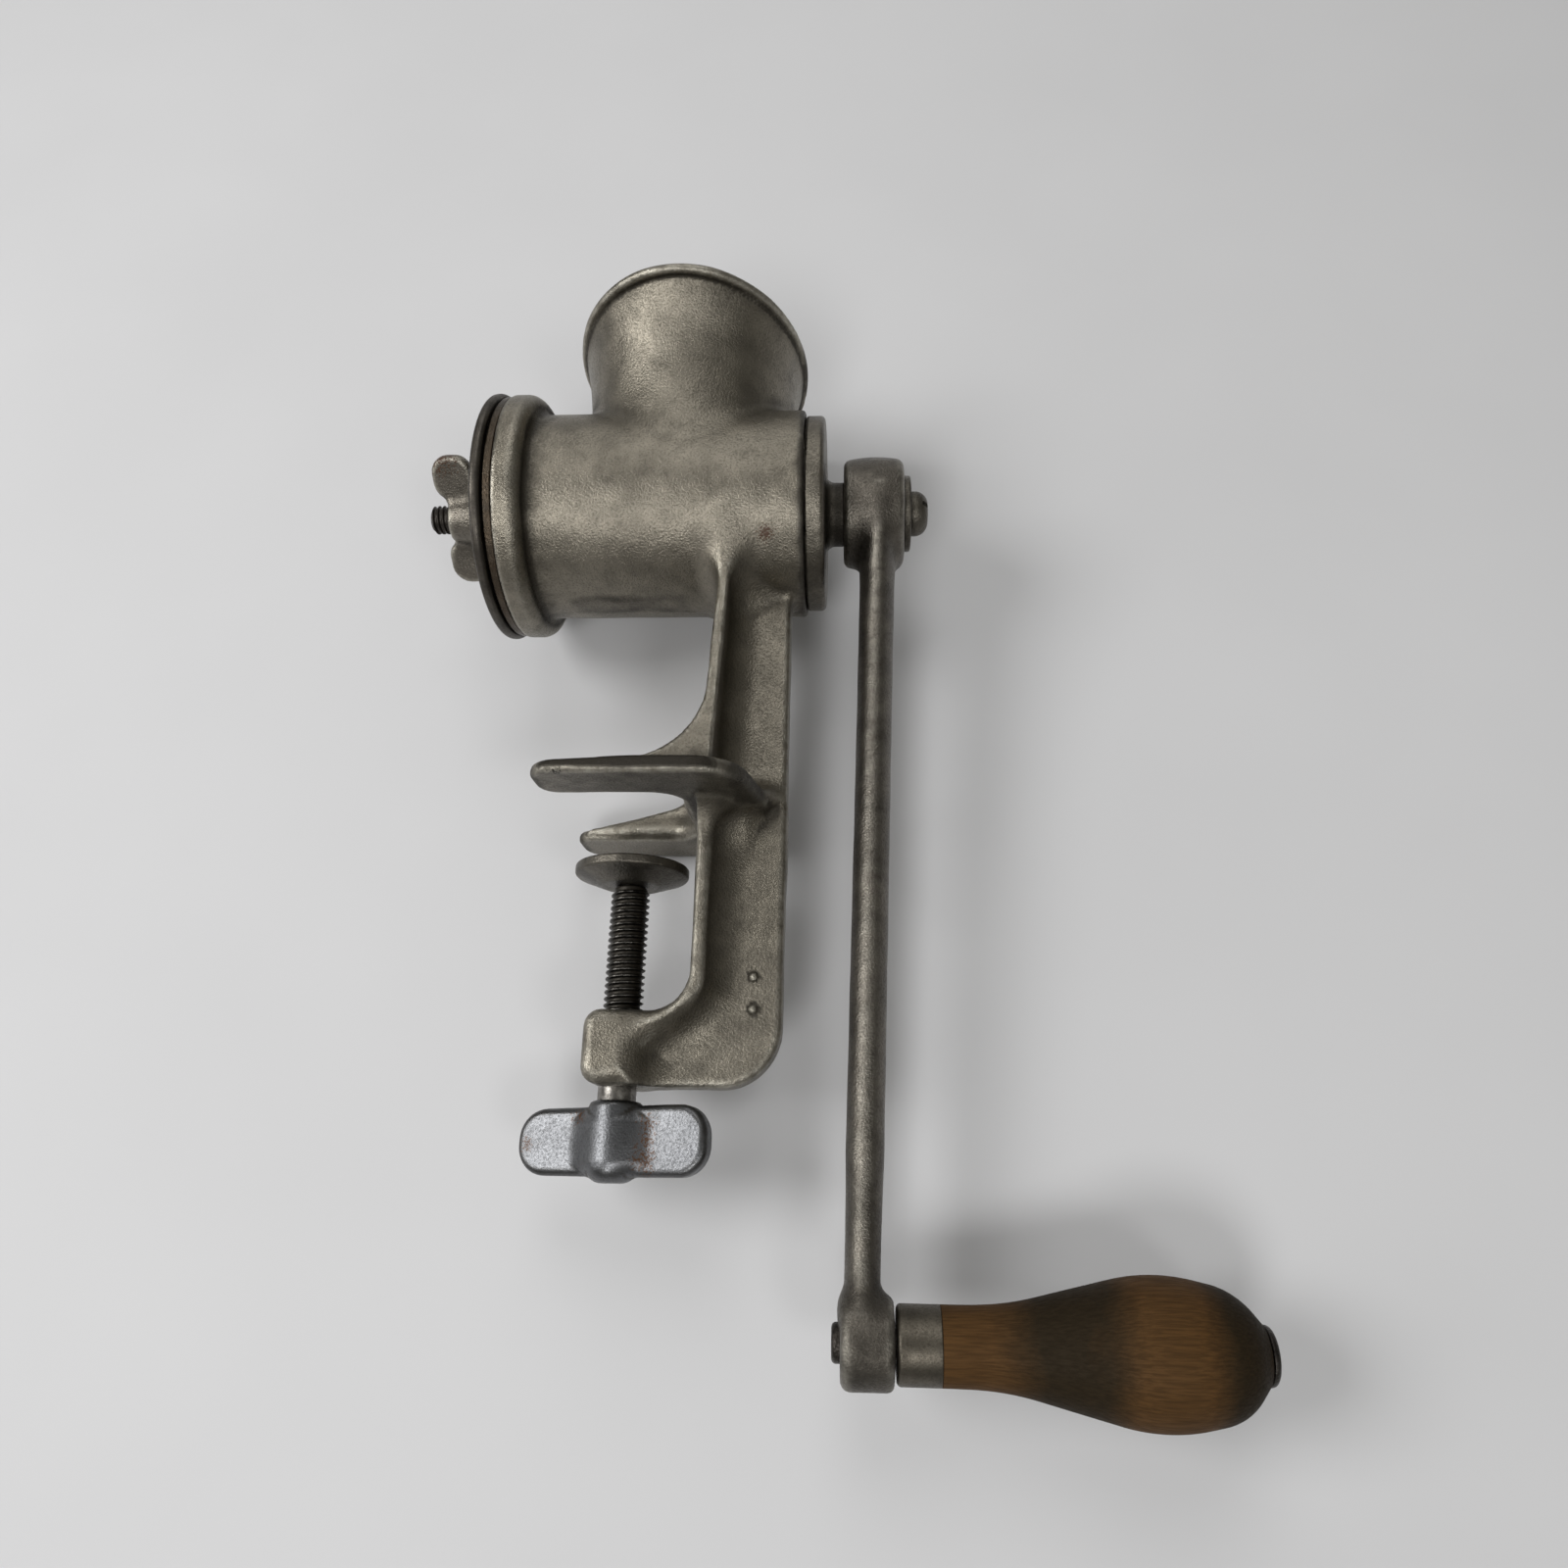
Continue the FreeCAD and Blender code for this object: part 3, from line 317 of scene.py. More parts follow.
def mesh_object(name, points, *faces, normals=None):
    """A smooth mesh from points in millimetres and faces. The faces of each array have the same number of
    corners. Where no normals are given, edges sharper than 50 degrees stay crisp."""
    faces = [np.asarray(group, np.int32) for group in faces]
    corners = np.concatenate([group.ravel() for group in faces])
    counts = np.concatenate([np.full(len(group), group.shape[1]) for group in faces])
    starts = np.concatenate(([0], np.cumsum(counts)[:-1]))
    mesh = bpy.data.meshes.new(name)
    mesh.vertices.add(len(points))
    mesh.vertices.foreach_set("co", (np.asarray(points) * MM).astype(np.float32).ravel())
    mesh.loops.add(len(corners))
    mesh.loops.foreach_set("vertex_index", corners)
    mesh.polygons.add(len(counts))
    mesh.polygons.foreach_set("loop_start", starts.astype(np.int32))
    mesh.update(calc_edges=True)
    mesh.validate()
    mesh.shade_smooth()
    if normals is None:
        mesh.set_sharp_from_angle(angle=math.radians(50))
    else:
        mesh.normals_split_custom_set_from_vertices(normals.astype(np.float32))
    piece = bpy.data.objects.new(name, mesh)
    bpy.context.scene.collection.objects.link(piece)
    return piece


def note(piece, name, values):
    """Keeps one number for each point of a piece, for its material to read."""
    layer = piece.data.attributes.new(name, "FLOAT", "POINT")
    layer.data.foreach_set("value", np.asarray(values, np.float32))


# Spans over which a field is felt for the surface's normal, its bend and what stands over it
NORMAL_SPAN = 0.35
BEND_SPAN = 0.8
SHELTER_SPAN = 8.0


def cast_piece(name, field, low, high, step, marks=None):
    """The skin of a field, with its outward edges and its hollows noted on its points. The hollow note is
    high in hollows and where something stands over the surface, and darkens it there: dirt with painted
    shade. Where marks gives darkening and a painted highlight for a place, they lie there as in a hollow and
    on an edge. Both are full at 1, and darkening over 1 lies thicker."""
    points, quads = skin(field, low, high, step)
    _, slope, _ = slope_and_bend(field, points, NORMAL_SPAN)
    normal = slope / np.linalg.norm(slope, axis=1)[:, None]
    _, _, bend = slope_and_bend(field, points, BEND_SPAN)
    x, y, z = (points + SHELTER_SPAN * normal).T
    shelter = np.clip(1 - field(x, y, z) / SHELTER_SPAN, 0, 1)
    piece = mesh_object(name, points, quads, normals=normal)
    edge = (bend - 0.12) / 0.6
    # painted shade with dirt: hollows and places that something stands over are noted dark
    dirt_and_painted_shade = np.clip(np.maximum(-1.5 * bend - 0.1, shelter), 0, 1)
    if marks:
        marked_dirt_and_painted_shade, painted_highlight = marks(*points.T)
        edge = np.maximum(edge, painted_highlight)
        dirt_and_painted_shade = np.maximum(dirt_and_painted_shade, marked_dirt_and_painted_shade) * (1 - painted_highlight)
    note(piece, "edge", np.clip(edge, 0, 1))
    note(piece, "hollow", dirt_and_painted_shade)
    return piece


# Points of a turned ring, and their angles
RING = 96
ANGLES = 2 * np.pi * np.arange(RING) / RING


def turned_points(along, radius, axis, centre):
    """Points and faces of a surface turned about an axis. Each place along the axis is a ring, with a radius
    for each angle. Rings that follow one another are joined by quads, and the first and the last are closed
    by a flat face."""
    points = np.empty((len(along), RING, 3))
    first = (axis + 1) % 3
    second = (axis + 2) % 3
    points[..., axis] = along[:, None]
    points[..., first] = centre[first] + radius * np.cos(ANGLES)
    points[..., second] = centre[second] + radius * np.sin(ANGLES)
    row = np.arange(len(along) - 1)[:, None] * RING
    here = np.arange(RING)[None, :]
    there = (here + 1) % RING
    quads = np.stack((row + here, row + there, row + RING + there, row + RING + here), -1).reshape(-1, 4)
    ends = np.stack((here[0, ::-1], (len(along) - 1) * RING + here[0]))
    return points.reshape(-1, 3), quads, ends


def finish_piece(piece, body, node, material):
    """Gives a piece its material, and lets it ride on its body in place of its node."""
    piece.data.materials.append(material)
    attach(piece, body)
    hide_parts(node)


def dress_node(node, material):
    """Gives a node of the frame its material."""
    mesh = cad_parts[node].data
    mesh.materials.clear()
    mesh.materials.append(material)


# Materials
def add(tree, kind, inputs=None, **settings):
    """A node with its settings, and its sockets set to values or joined to other sockets."""
    made = tree.nodes.new(kind)
    for name, value in settings.items():
        setattr(made, name, value)
    for name, value in (inputs or {}).items():
        if isinstance(value, bpy.types.NodeSocket):
            tree.links.new(value, made.inputs[name])
        else:
            made.inputs[name].default_value = value
    return made


def math_node(tree, operation, a, b, c=0.0, clamp=False):
    """One sum on numbers or sockets. Only a sum of three takes the third."""
    return add(tree, "ShaderNodeMath", {0: a, 1: b, 2: c}, operation=operation, use_clamp=clamp).outputs[0]


def spread(tree, value, low, high, start=0.0, stop=1.0):
    """A value's range from low to high spread over start to stop, and held there."""
    inputs = {"Value": value, "From Min": low, "From Max": high, "To Min": start, "To Max": stop}
    return add(tree, "ShaderNodeMapRange", inputs, clamp=True).outputs["Result"]


def noise(tree, where, scale, detail, roughness=0.5, distortion=0.0):
    """Cloudy noise, mostly from 0.3 to 0.7."""
    inputs = {"Vector": where, "Scale": scale, "Detail": detail, "Roughness": roughness,
              "Distortion": distortion}
    return add(tree, "ShaderNodeTexNoise", inputs).outputs["Fac"]


def blend(tree, factor, first, second):
    """A mix of two colours by a mask. Each colour is red, green and blue or a socket."""
    inputs = {"Factor": factor}
    for socket, value in ((6, first), (7, second)):
        inputs[socket] = value if isinstance(value, bpy.types.NodeSocket) else (*value, 1.0)
    return add(tree, "ShaderNodeMix", inputs, data_type="RGBA").outputs[2]


def dimmed(rgb, part):
    """A colour at part of its brightness."""
    return tuple(part * value for value in rgb)


def new_group(name, inputs, outputs):
    """An empty shader group: a place, numbers with their defaults, and the numbers that it gives."""
    group = bpy.data.node_groups.new(name, "ShaderNodeTree")
    group.interface.new_socket("Vector", in_out="INPUT", socket_type="NodeSocketVector")
    for socket, default in inputs.items():
        made = group.interface.new_socket(socket, in_out="INPUT", socket_type="NodeSocketFloat")
        made.default_value = default
    for socket in outputs:
        group.interface.new_socket(socket, in_out="OUTPUT", socket_type="NodeSocketFloat")
    return group, group.nodes.new("NodeGroupInput").outputs, group.nodes.new("NodeGroupOutput").inputs


def cast_grain_group():
    """Sand grain of a casting: fine and middling noise, with small pits."""
    group, given, out = new_group("Cast Grain", {"Scale": 900.0}, ["Height", "Speckle", "Cloud"])
    where = given["Vector"]
    scale = given["Scale"]
    fine = noise(group, where, scale, 3.0, 0.6)
    coarse = noise(group, where, math_node(group, "MULTIPLY", scale, 0.28), 4.0, 0.55)
    cloud = noise(group, where, math_node(group, "MULTIPLY", scale, 0.07), 5.0, 0.6)
    pit_scale = math_node(group, "MULTIPLY", scale, 0.33)
    pit = add(group, "ShaderNodeTexVoronoi", {"Vector": where, "Scale": pit_scale}).outputs["Distance"]
    height = math_node(group, "MULTIPLY_ADD", coarse, 0.3, fine)
    height = math_node(group, "MULTIPLY_ADD", spread(group, pit, 0.0, 0.2), 0.15, height)
    group.links.new(height, out["Height"])
    group.links.new(spread(group, fine, 0.36, 0.66), out["Speckle"])
    group.links.new(spread(group, cloud, 0.32, 0.70), out["Cloud"])
    return group


def grime_and_painted_shade_group():
    """Dirt in cloudy patches, and dirt with painted shade where the Hollow note is high."""
    group, given, out = new_group("Grime and Painted Shade", {"Hollow": 0.0, "Amount": 0.7, "Scale": 120.0}, ["Mask"])
    patch = noise(group, given["Vector"], given["Scale"], 6.0, 0.65)
    dirt_and_painted_shade = math_node(group, "MULTIPLY_ADD", given["Hollow"], 0.62, patch)
    some = math_node(group, "MULTIPLY", spread(group, dirt_and_painted_shade, 0.56, 0.98), given["Amount"])
    thick = math_node(group, "SUBTRACT", given["Hollow"], 1.0, clamp=True)
    group.links.new(math_node(group, "ADD", some, thick, clamp=True), out["Mask"])
    return group


def wear_and_painted_light_group():
    """Edge colour on outward edges, broken up by noise: wear, and on some pieces a painted highlight, and on
    the thumb wing painted shade.
    """
    group, given, out = new_group("Edge Wear and Painted Light", {"Edge": 0.0, "Amount": 0.7, "Scale": 260.0}, ["Mask"])
    broken = noise(group, given["Vector"], given["Scale"], 4.0, 0.7)
    edge_wear_and_painted_light = math_node(group, "MULTIPLY", given["Edge"], spread(group, broken, 0.3, 0.62))
    group.links.new(math_node(group, "MULTIPLY", edge_wear_and_painted_light, given["Amount"], clamp=True), out["Mask"])
    return group


def rust_group():
    """Rust in spots, where noise stands above a level."""
    group, given, out = new_group("Rust Spots", {"Scale": 150.0, "Cover": 0.2}, ["Mask"])
    spot = noise(group, given["Vector"], given["Scale"], 6.0, 0.7)
    level = math_node(group, "SUBTRACT", 0.82, math_node(group, "MULTIPLY", given["Cover"], 0.5))
    over = math_node(group, "SUBTRACT", spot, level)
    group.links.new(math_node(group, "MULTIPLY", over, 12.0, clamp=True), out["Mask"])
    return group


GROUP_MAKERS = {"grain": cast_grain_group, "grime_and_painted_shade": grime_and_painted_shade_group, "wear_and_painted_light": wear_and_painted_light_group, "rust": rust_group}
MADE_GROUPS = {}


def place_group(tree, name, where, **numbers):
    """One of the shared groups in a material, with its own numbers. It is built when it is first needed."""
    if name not in MADE_GROUPS:
        MADE_GROUPS[name] = GROUP_MAKERS[name]()
    return add(tree, "ShaderNodeGroup", {"Vector": where, **numbers}, node_tree=MADE_GROUPS[name]).outputs


def new_material(name):
    """An empty material with a Principled shader, and the Object coordinates."""
    made = bpy.data.materials.new(name)
    made.use_nodes = True
    tree = made.node_tree
    tree.nodes.clear()
    shader = tree.nodes.new("ShaderNodeBsdfPrincipled")
    output = tree.nodes.new("ShaderNodeOutputMaterial")
    tree.links.new(shader.outputs["BSDF"], output.inputs["Surface"])
    where = tree.nodes.new("ShaderNodeTexCoord").outputs["Object"]
    return made, tree, shader, where


def stain_mask(tree, where, spots, broken):
    """A mask of round stains (x, y, z, radius in millimetres) with ragged rims."""
    mask = 0.0
    for x, y, z, radius in spots:
        gap = add(tree, "ShaderNodeVectorMath", {0: where, 1: (x * MM, y * MM, z * MM)}, operation="DISTANCE")
        ragged = math_node(tree, "MULTIPLY_ADD", broken, -1.6 * radius * MM, gap.outputs["Value"])
        spot = spread(tree, ragged, -0.3 * radius * MM, 0.15 * radius * MM, 1.0, 0.0)
        mask = math_node(tree, "MAXIMUM", mask, spot)
    return mask


GRAIN_SCALE = 1800.0


def worn_metal(name, base, bright, rough=(0.28, 0.44), bump=0.5, rust=0.12, noted=False, shade=0.6,
               rust_spots=(), dark_spots=(), greasy=None):
    """Metal with cast grain, bright edges, dirt, rust and single stains. A piece with noted edges and hollows
    has its edge colour and its dark colour there, which paint wear and dirt together with painted highlight
    and painted shade; any other has them in patches. Where greasy gives two places along X in millimetres,
    dirt also grows from the first to the second, and lies on all beyond."""
    finish = bpy.context.scene.grinder_finish
    made, tree, shader, where = new_material(name)
    edge = 0.25
    hollow = 0.15
    if noted:
        edge = add(tree, "ShaderNodeAttribute", attribute_name="edge").outputs["Fac"]
        hollow = add(tree, "ShaderNodeAttribute", attribute_name="hollow").outputs["Fac"]
    grains = place_group(tree, "grain", where, Scale=GRAIN_SCALE)
    # dark colour: dirt, with painted shade where the piece's hollow note is high
    dirt_and_painted_shade = place_group(tree, "grime_and_painted_shade", where, Hollow=hollow, Amount=finish.grime_and_painted_shade_amount)["Mask"]
    # edge colour: wear, with a painted highlight on the casting's near foot and the clamp screw's crests, and
    # painted shade on the thumb wing's edges
    edge_wear_and_painted_light = place_group(tree, "wear_and_painted_light", where, Edge=edge, Amount=finish.wear_and_painted_light_amount)["Mask"]
    rusted = place_group(tree, "rust", where, Cover=rust)["Mask"]
    rusted = math_node(tree, "MAXIMUM", rusted, stain_mask(tree, where, rust_spots, grains["Speckle"]))
    dirt_and_painted_shade = math_node(tree, "MAXIMUM", dirt_and_painted_shade, stain_mask(tree, where, dark_spots, grains["Speckle"]))
    if greasy:
        along = add(tree, "ShaderNodeSeparateXYZ", {"Vector": where}).outputs["X"]
        grease = spread(tree, along, greasy[0] * MM, greasy[1] * MM, 0.0, 0.9)
        dirt_and_painted_shade = math_node(tree, "MAXIMUM", dirt_and_painted_shade, grease)
    colour_now = blend(tree, grains["Cloud"], dimmed(base, shade), base)
    specks = spread(tree, grains["Speckle"], 0.4, 0.0, 0.0, 0.45)
    colour_now = blend(tree, specks, colour_now, dimmed(base, 0.35))
    colour_now = blend(tree, edge_wear_and_painted_light, colour_now, bright)
    colour_now = blend(tree, dirt_and_painted_shade, colour_now, finish.grime_and_painted_shade)
    colour_now = blend(tree, rusted, colour_now, finish.rust)
    tree.links.new(colour_now, shader.inputs["Base Color"])
    satin = spread(tree, grains["Speckle"], 0.0, 1.0, rough[1], rough[0])
    tree.links.new(math_node(tree, "MULTIPLY_ADD", dirt_and_painted_shade, 0.15, satin), shader.inputs["Roughness"])
    cover = math_node(tree, "MAXIMUM", math_node(tree, "MULTIPLY", dirt_and_painted_shade, 0.5), rusted)
    tree.links.new(spread(tree, cover, 0.0, 1.0, 1.0, 0.1), shader.inputs["Metallic"])
    bumped = add(tree, "ShaderNodeBump", {"Strength": bump, "Distance": 0.0004, "Height": grains["Height"]})
    tree.links.new(bumped.outputs["Normal"], shader.inputs["Normal"])
    return made


def oiled_wood(name):
    """Turned hardwood: grain lines along the handle's axis, greasy dark where it is held and worn light in
    bands."""
    finish = bpy.context.scene.grinder_finish
    made, tree, shader, where = new_material(name)
    along = add(tree, "ShaderNodeMapping", {"Vector": where, "Scale": (0.06, 1.0, 1.0)}).outputs["Vector"]
    grain = noise(tree, along, 2000.0, 5.0, 0.6, distortion=0.3)
    patch = noise(tree, where, 55.0, 5.0, 0.6)
    worn = add(tree, "ShaderNodeAttribute", attribute_name="worn").outputs["Fac"]
    lightness = math_node(tree, "MULTIPLY_ADD", patch, 0.9, math_node(tree, "SUBTRACT", worn, 0.45))
    lightness = spread(tree, lightness, 0.05, 0.75)
    wood = blend(tree, lightness, finish.wood_dark, finish.wood_light)
    streak = math_node(tree, "MULTIPLY", spread(tree, grain, 0.38, 0.62), 0.4)
    wood = blend(tree, streak, wood, dimmed(finish.wood_dark, 0.35))
    tree.links.new(wood, shader.inputs["Base Color"])
    tree.links.new(spread(tree, grain, 0.3, 0.7, 0.55, 0.75), shader.inputs["Roughness"])
    shader.inputs["Specular IOR Level"].default_value = 0.1
    bumped = add(tree, "ShaderNodeBump", {"Strength": 0.2, "Distance": 0.0003, "Height": grain})
    tree.links.new(bumped.outputs["Normal"], shader.inputs["Normal"])
    return made


# Cast pieces
def oval_gap(across, beside, half_length, half_width):
    """Distance to an oval, about: with q the point's place as a share of the way from the centre to the oval,
    q - 1 divided by the slope of q."""
    q = np.maximum(np.hypot(across / half_length, beside / half_width), 1e-4)
    slope = np.hypot(across / half_length ** 2, beside / half_width ** 2) / q
    return (q - 1) / np.maximum(slope, 1e-4)


def casting_field():
    """Barrel, hopper, leg, fork and lower arm in one field. The throat, the leg and the feet make the walls,
    and the web meets them in a wide hollow. Behind the throat a heel fills the corner under the feet, wider
    the nearer it is to the web. The barrel's front flange is a collar with a round back. The hopper is an
    oval whose half axes grow with a power of the height."""
    size = sizes()
    leg_top = 80.3
    leg_foot = 12.6
    leg_half = 22.6
    leg_taper = 6.1
    arm_foot = -66.5
    throat_half = 12.4
    throat_back = 20.8
    foot_tip = -20.0
    foot_half = 34.4
    slot_half = 18.3
    slot_end = 13.8
    web_plan = Template([(22.2, leg_top, 0), (38.4, leg_top, 0), (38.4, arm_foot, 14.5), (3.6, arm_foot, 0),
                         (3.6, -60.5, 0), (18.9, -43.8, 0), (18.9, 2.1, 0)])
    throat_plan = Template([(17.4, 2.1, 0), (17.4, -49.8, 9.5), (-6.9, -49.8, 4), (-6.9, arm_foot, 4),
                            (5.2, arm_foot, 0), (6.2, -57.5, 6), (throat_back, -46.3, 9),
                            (throat_back, 2.1, 0)])
    leg_plan = Template([(21.2, leg_top, 0), (18.4, leg_foot, 20.6), (-17, 2.4, 0), (-17, 1.0, 0),
                         (21.2, 1.0, 0), (24.0, leg_top, 0)])
    feet_plan = Template([(foot_tip, -foot_half, 7), (28.0, -foot_half, 13), (34.0, -9, 8), (34.0, 9, 8),
                          (28.0, foot_half, 13), (foot_tip, foot_half, 7), (foot_tip, slot_half, 5),
                          (slot_end, slot_half, 8), (slot_end, -slot_half, 8), (foot_tip, -slot_half, 5)])
    slot_plan = Template([(-30, -slot_half, 0), (slot_end, -slot_half, 8), (slot_end, slot_half, 8),
                          (-30, slot_half, 0)])
    heel_half = 12.0
    heel_rear = 31.5
    pips = ((31.4, -4.0, -40.9), (31.5, -4.0, -48.5))
    pip_radius = 1.2
    tapped_radius = 4.86
    barrel_middle = 2.2
    barrel_half = 39.8
    flange_back = -30.4
    recess_radius = 27.05
    recess_end = -35.0
    hopper_height = RIM_HEIGHT - BARREL_AXIS
    hopper_power = 3.2
    rim_longer = 3.7
    rim_wider = 15.1
    bead_radius = 1.3

    def clamp_frame(x, y, z):
        side = np.abs(y)
        half = leg_half - leg_taper * np.clip((z - leg_foot) / (leg_top - leg_foot), 0, 1)
        web_shape = web_plan(x, z)
        throat_shape = throat_plan(x, z)
        leg_shape = leg_plan(x, z)
        web = prism(web_shape, side - size("web_half"), 1.5)
        throat_edge = 1.3 + ramp(-z, 44, 55) * (1.5 + 2.0 * ramp(x, -4, 4))
        throat = prism(throat_shape, side - throat_half, throat_edge)
        leg = carved(prism(leg_shape, side - half, 0.9), slot_plan(x, y), 1.2)
        toward_tip = ramp(-x, -6, 16)
        thick = size("foot_height") - 1.2 * toward_tip
        feet = prism(feet_plan(x, y), np.abs(z - thick / 2) - thick / 2, 1.6 - 0.4 * toward_tip)
        walls = blended(throat, feet, 0.1 + 11.0 * ramp(-z, -1.5, 0.5))
        walls = np.minimum(walls, joined(leg, feet, 3.0 * ramp(z, 0, 3)))
        cove = size("web_cove") * (1 - 0.75 * ramp(x, 28, 35) * ramp(z, -16, -6) * (1 - ramp(z, 0, 4)))
        outline = np.minimum(np.minimum(web_shape, throat_shape), np.minimum(leg_shape, feet))
        frame_now = np.maximum(joined(walls, web, cove), outline)
        corner_cove = 5.0 + 10.0 * ramp(throat_half - side, 0, 8)
        corner = joined(x - throat_back, np.maximum(-z, x - heel_rear), corner_cove)
        heel = prism(joined(corner, web, cove), side - heel_half, 1.5)
        heel = np.maximum(np.maximum(heel, web_shape), np.maximum(18.5 - x, np.abs(z + 14) - 16))
        frame_now = blended(frame_now, heel + ramp(-z, 12, 24), 1.2)
        for across, beside, height in pips:
            pip = np.sqrt((x - across) ** 2 + (y - beside) ** 2 + (z - height) ** 2) - pip_radius
            frame_now = joined(frame_now, pip, 0.3)
        return frame_now

    def field(x, y, z):
        up = z - BARREL_AXIS
        around = np.hypot(y, up)
        ahead = x - HOPPER_CENTRE
        collar = prism(around - size("flange_radius"), x - flange_back, 3.4)
        beyond = np.abs(x - barrel_middle) - barrel_half
        tube = prism(joined(around - size("barrel_radius"), collar, 1.8), beyond, 0.9)
        rise = np.clip(up / hopper_height, 0, 1.05)
        flare = rise ** hopper_power
        slant = rim_wider * hopper_power * rise ** (hopper_power - 1) / hopper_height
        steep = np.hypot(1, slant * np.clip(np.abs(y) / 40, 0, 1))
        outside = oval_gap(ahead, y, 28.35 + rim_longer * flare, 26.45 + rim_wider * flare) / steep
        wall = size("hopper_wall")
        inside = oval_gap(ahead, y, 29.2 - wall + rim_longer * flare, 27.3 - wall + rim_wider * flare) / steep
        hopper = prism(outside, np.maximum(up - 49.6, -up), 0.5)
        bead = np.hypot(oval_gap(ahead, y, 31.6, 41.1), up - 48.7) - bead_radius
        hopper = joined(hopper, bead, 0.8)
        solid = blended(tube, hopper, 0.1 + 2.6 * ramp(up, 2, 11))
        solid = joined(solid, clamp_frame(x, y, z), 8.0 - 5.5 * ramp(x, 27, 37))
        bore = np.maximum(around - size("bore_radius") - 0.05, beyond - 3.0)
        recess = np.maximum(around - recess_radius, x - recess_end)
        well = np.maximum(inside, -up)
        solid = carved(solid, np.minimum(np.minimum(bore, recess), well), 0.7)
        solid = carved(solid, np.maximum(np.hypot(x, y) - tapped_radius, np.abs(z + 58) - 14), 0.6)
        return solid + size("cast_wobble") * wobble(x, y, z)
    return field


def casting_marks(x, y, z):
    """Dirt under the barrel and round its rear end. Darker on the tips and the rear of the feet, on the near
    foot's underside, and a little on all below them; painted shade on the near foot's side. A painted
    highlight lies along the near foot's lower edge."""
    bottom = 0.55 * np.exp(-((z - 61.6) / 0.28) ** 2) * ramp(x, -24, -18) * (1 - ramp(x, 8, 14))
    rear = 0.8 * ramp(x, 39.6, 41.4)
    prongs = ramp(z, -0.6, -0.1) * (z < 6)
    # painted shade on the near foot's side; the tips of the feet are darkened too
    feet = prongs * np.maximum(1.15 * ramp(-y, 32.0, 33.4) * ramp(z, 0.6, 1.2), 0.8 * ramp(-x, 16.5, 19))
    under = 0.45 * prongs * (1 - ramp(z, 0.1, 0.6)) * ramp(-y, 13, 16)
    heel = 0.8 * ramp(x, 23, 28) * ramp(np.abs(y), 8, 14) * (np.abs(z - 1) < 4.5)
    # painted highlight along the near foot's lower edge
    painted_highlight = ramp(-y, 32.5, 33.2) * (1 - ramp(z, 0.5, 1.1)) * (x < 24) * (x > -15)
    lower = 0.25 * ramp(-z, 4, 10)
    return np.maximum.reduce((bottom, rear, feet, under, heel, lower)), painted_highlight


def crank_field():
    """Crank: hub and boss are profiles turned about the barrel's and the handle's axis, and the bar is an
    oval whose middle and half axes change along its length."""
    size = sizes()
    hub_plan = Template([(52.3, -14.4, 2.0), (52.3, 14.4, 2.0), (60.5, 15.8, 40), (68.7, 14.6, 2.4),
                         (68.7, -14.6, 2.4), (60.5, -15.8, 40)])
    boss_plan = Template([(52.3, -9.4, 2.2), (52.3, 9.4, 2.2), (63.9, 9.4, 1.6), (63.9, -9.4, 1.6)])
    places = (-0.05, 0.0, 0.06, 0.11, 0.20, 0.36, 0.81, 0.90, 0.965, 0.995)
    thicker = (0.0, 0.6, 0.5, 0.2, 0.1, 0.0, -0.1, -0.5, -0.5, 0.2)
    wider = (3.6, 8.0, 6.0, 3.2, 1.0, 0.0, -0.6, -0.5, 0.2, 1.0)
    bar_top = 61.9
    bar_lean = 5.1
    square_half = 6.0
    pin_radius = 3.2

    def field(x, y, z):
        up = z - BARREL_AXIS
        down = z - HANDLE_AXIS
        hub = hub_plan(x, np.hypot(y, up))
        boss = boss_plan(x, np.hypot(y, down))
        along = np.clip(-up / (BARREL_AXIS - HANDLE_AXIS), -0.05, 1)
        half = size("crank_half_thickness") + np.interp(along, places, thicker)
        width = size("crank_half_width") + np.interp(along, places, wider)
        middle = bar_top - bar_lean * along
        bar = np.maximum(oval_gap(x - middle, y, half, width), np.maximum(up - 7, -down - 2))
        crank = joined(blended(hub, bar, 3.2), boss, 0.4 + 2.8 * ramp(down, -1, 7))
        square = np.maximum(np.abs(y), np.abs(up)) - square_half
        pin = np.hypot(y, down) - pin_radius
        crank = carved(crank, np.minimum(square, pin), 0.4)
        return crank + 0.8 * size("cast_wobble") * wobble(x, 1.3 * y, z)
    return field


def crank_marks(x, y, z):
    """Darker on the handle's boss, and no painted highlight."""
    marked_dirt_and_painted_shade = 0.42 * (1 - ramp(z - HANDLE_AXIS, 9, 20))
    return marked_dirt_and_painted_shade, np.zeros_like(marked_dirt_and_painted_shade)


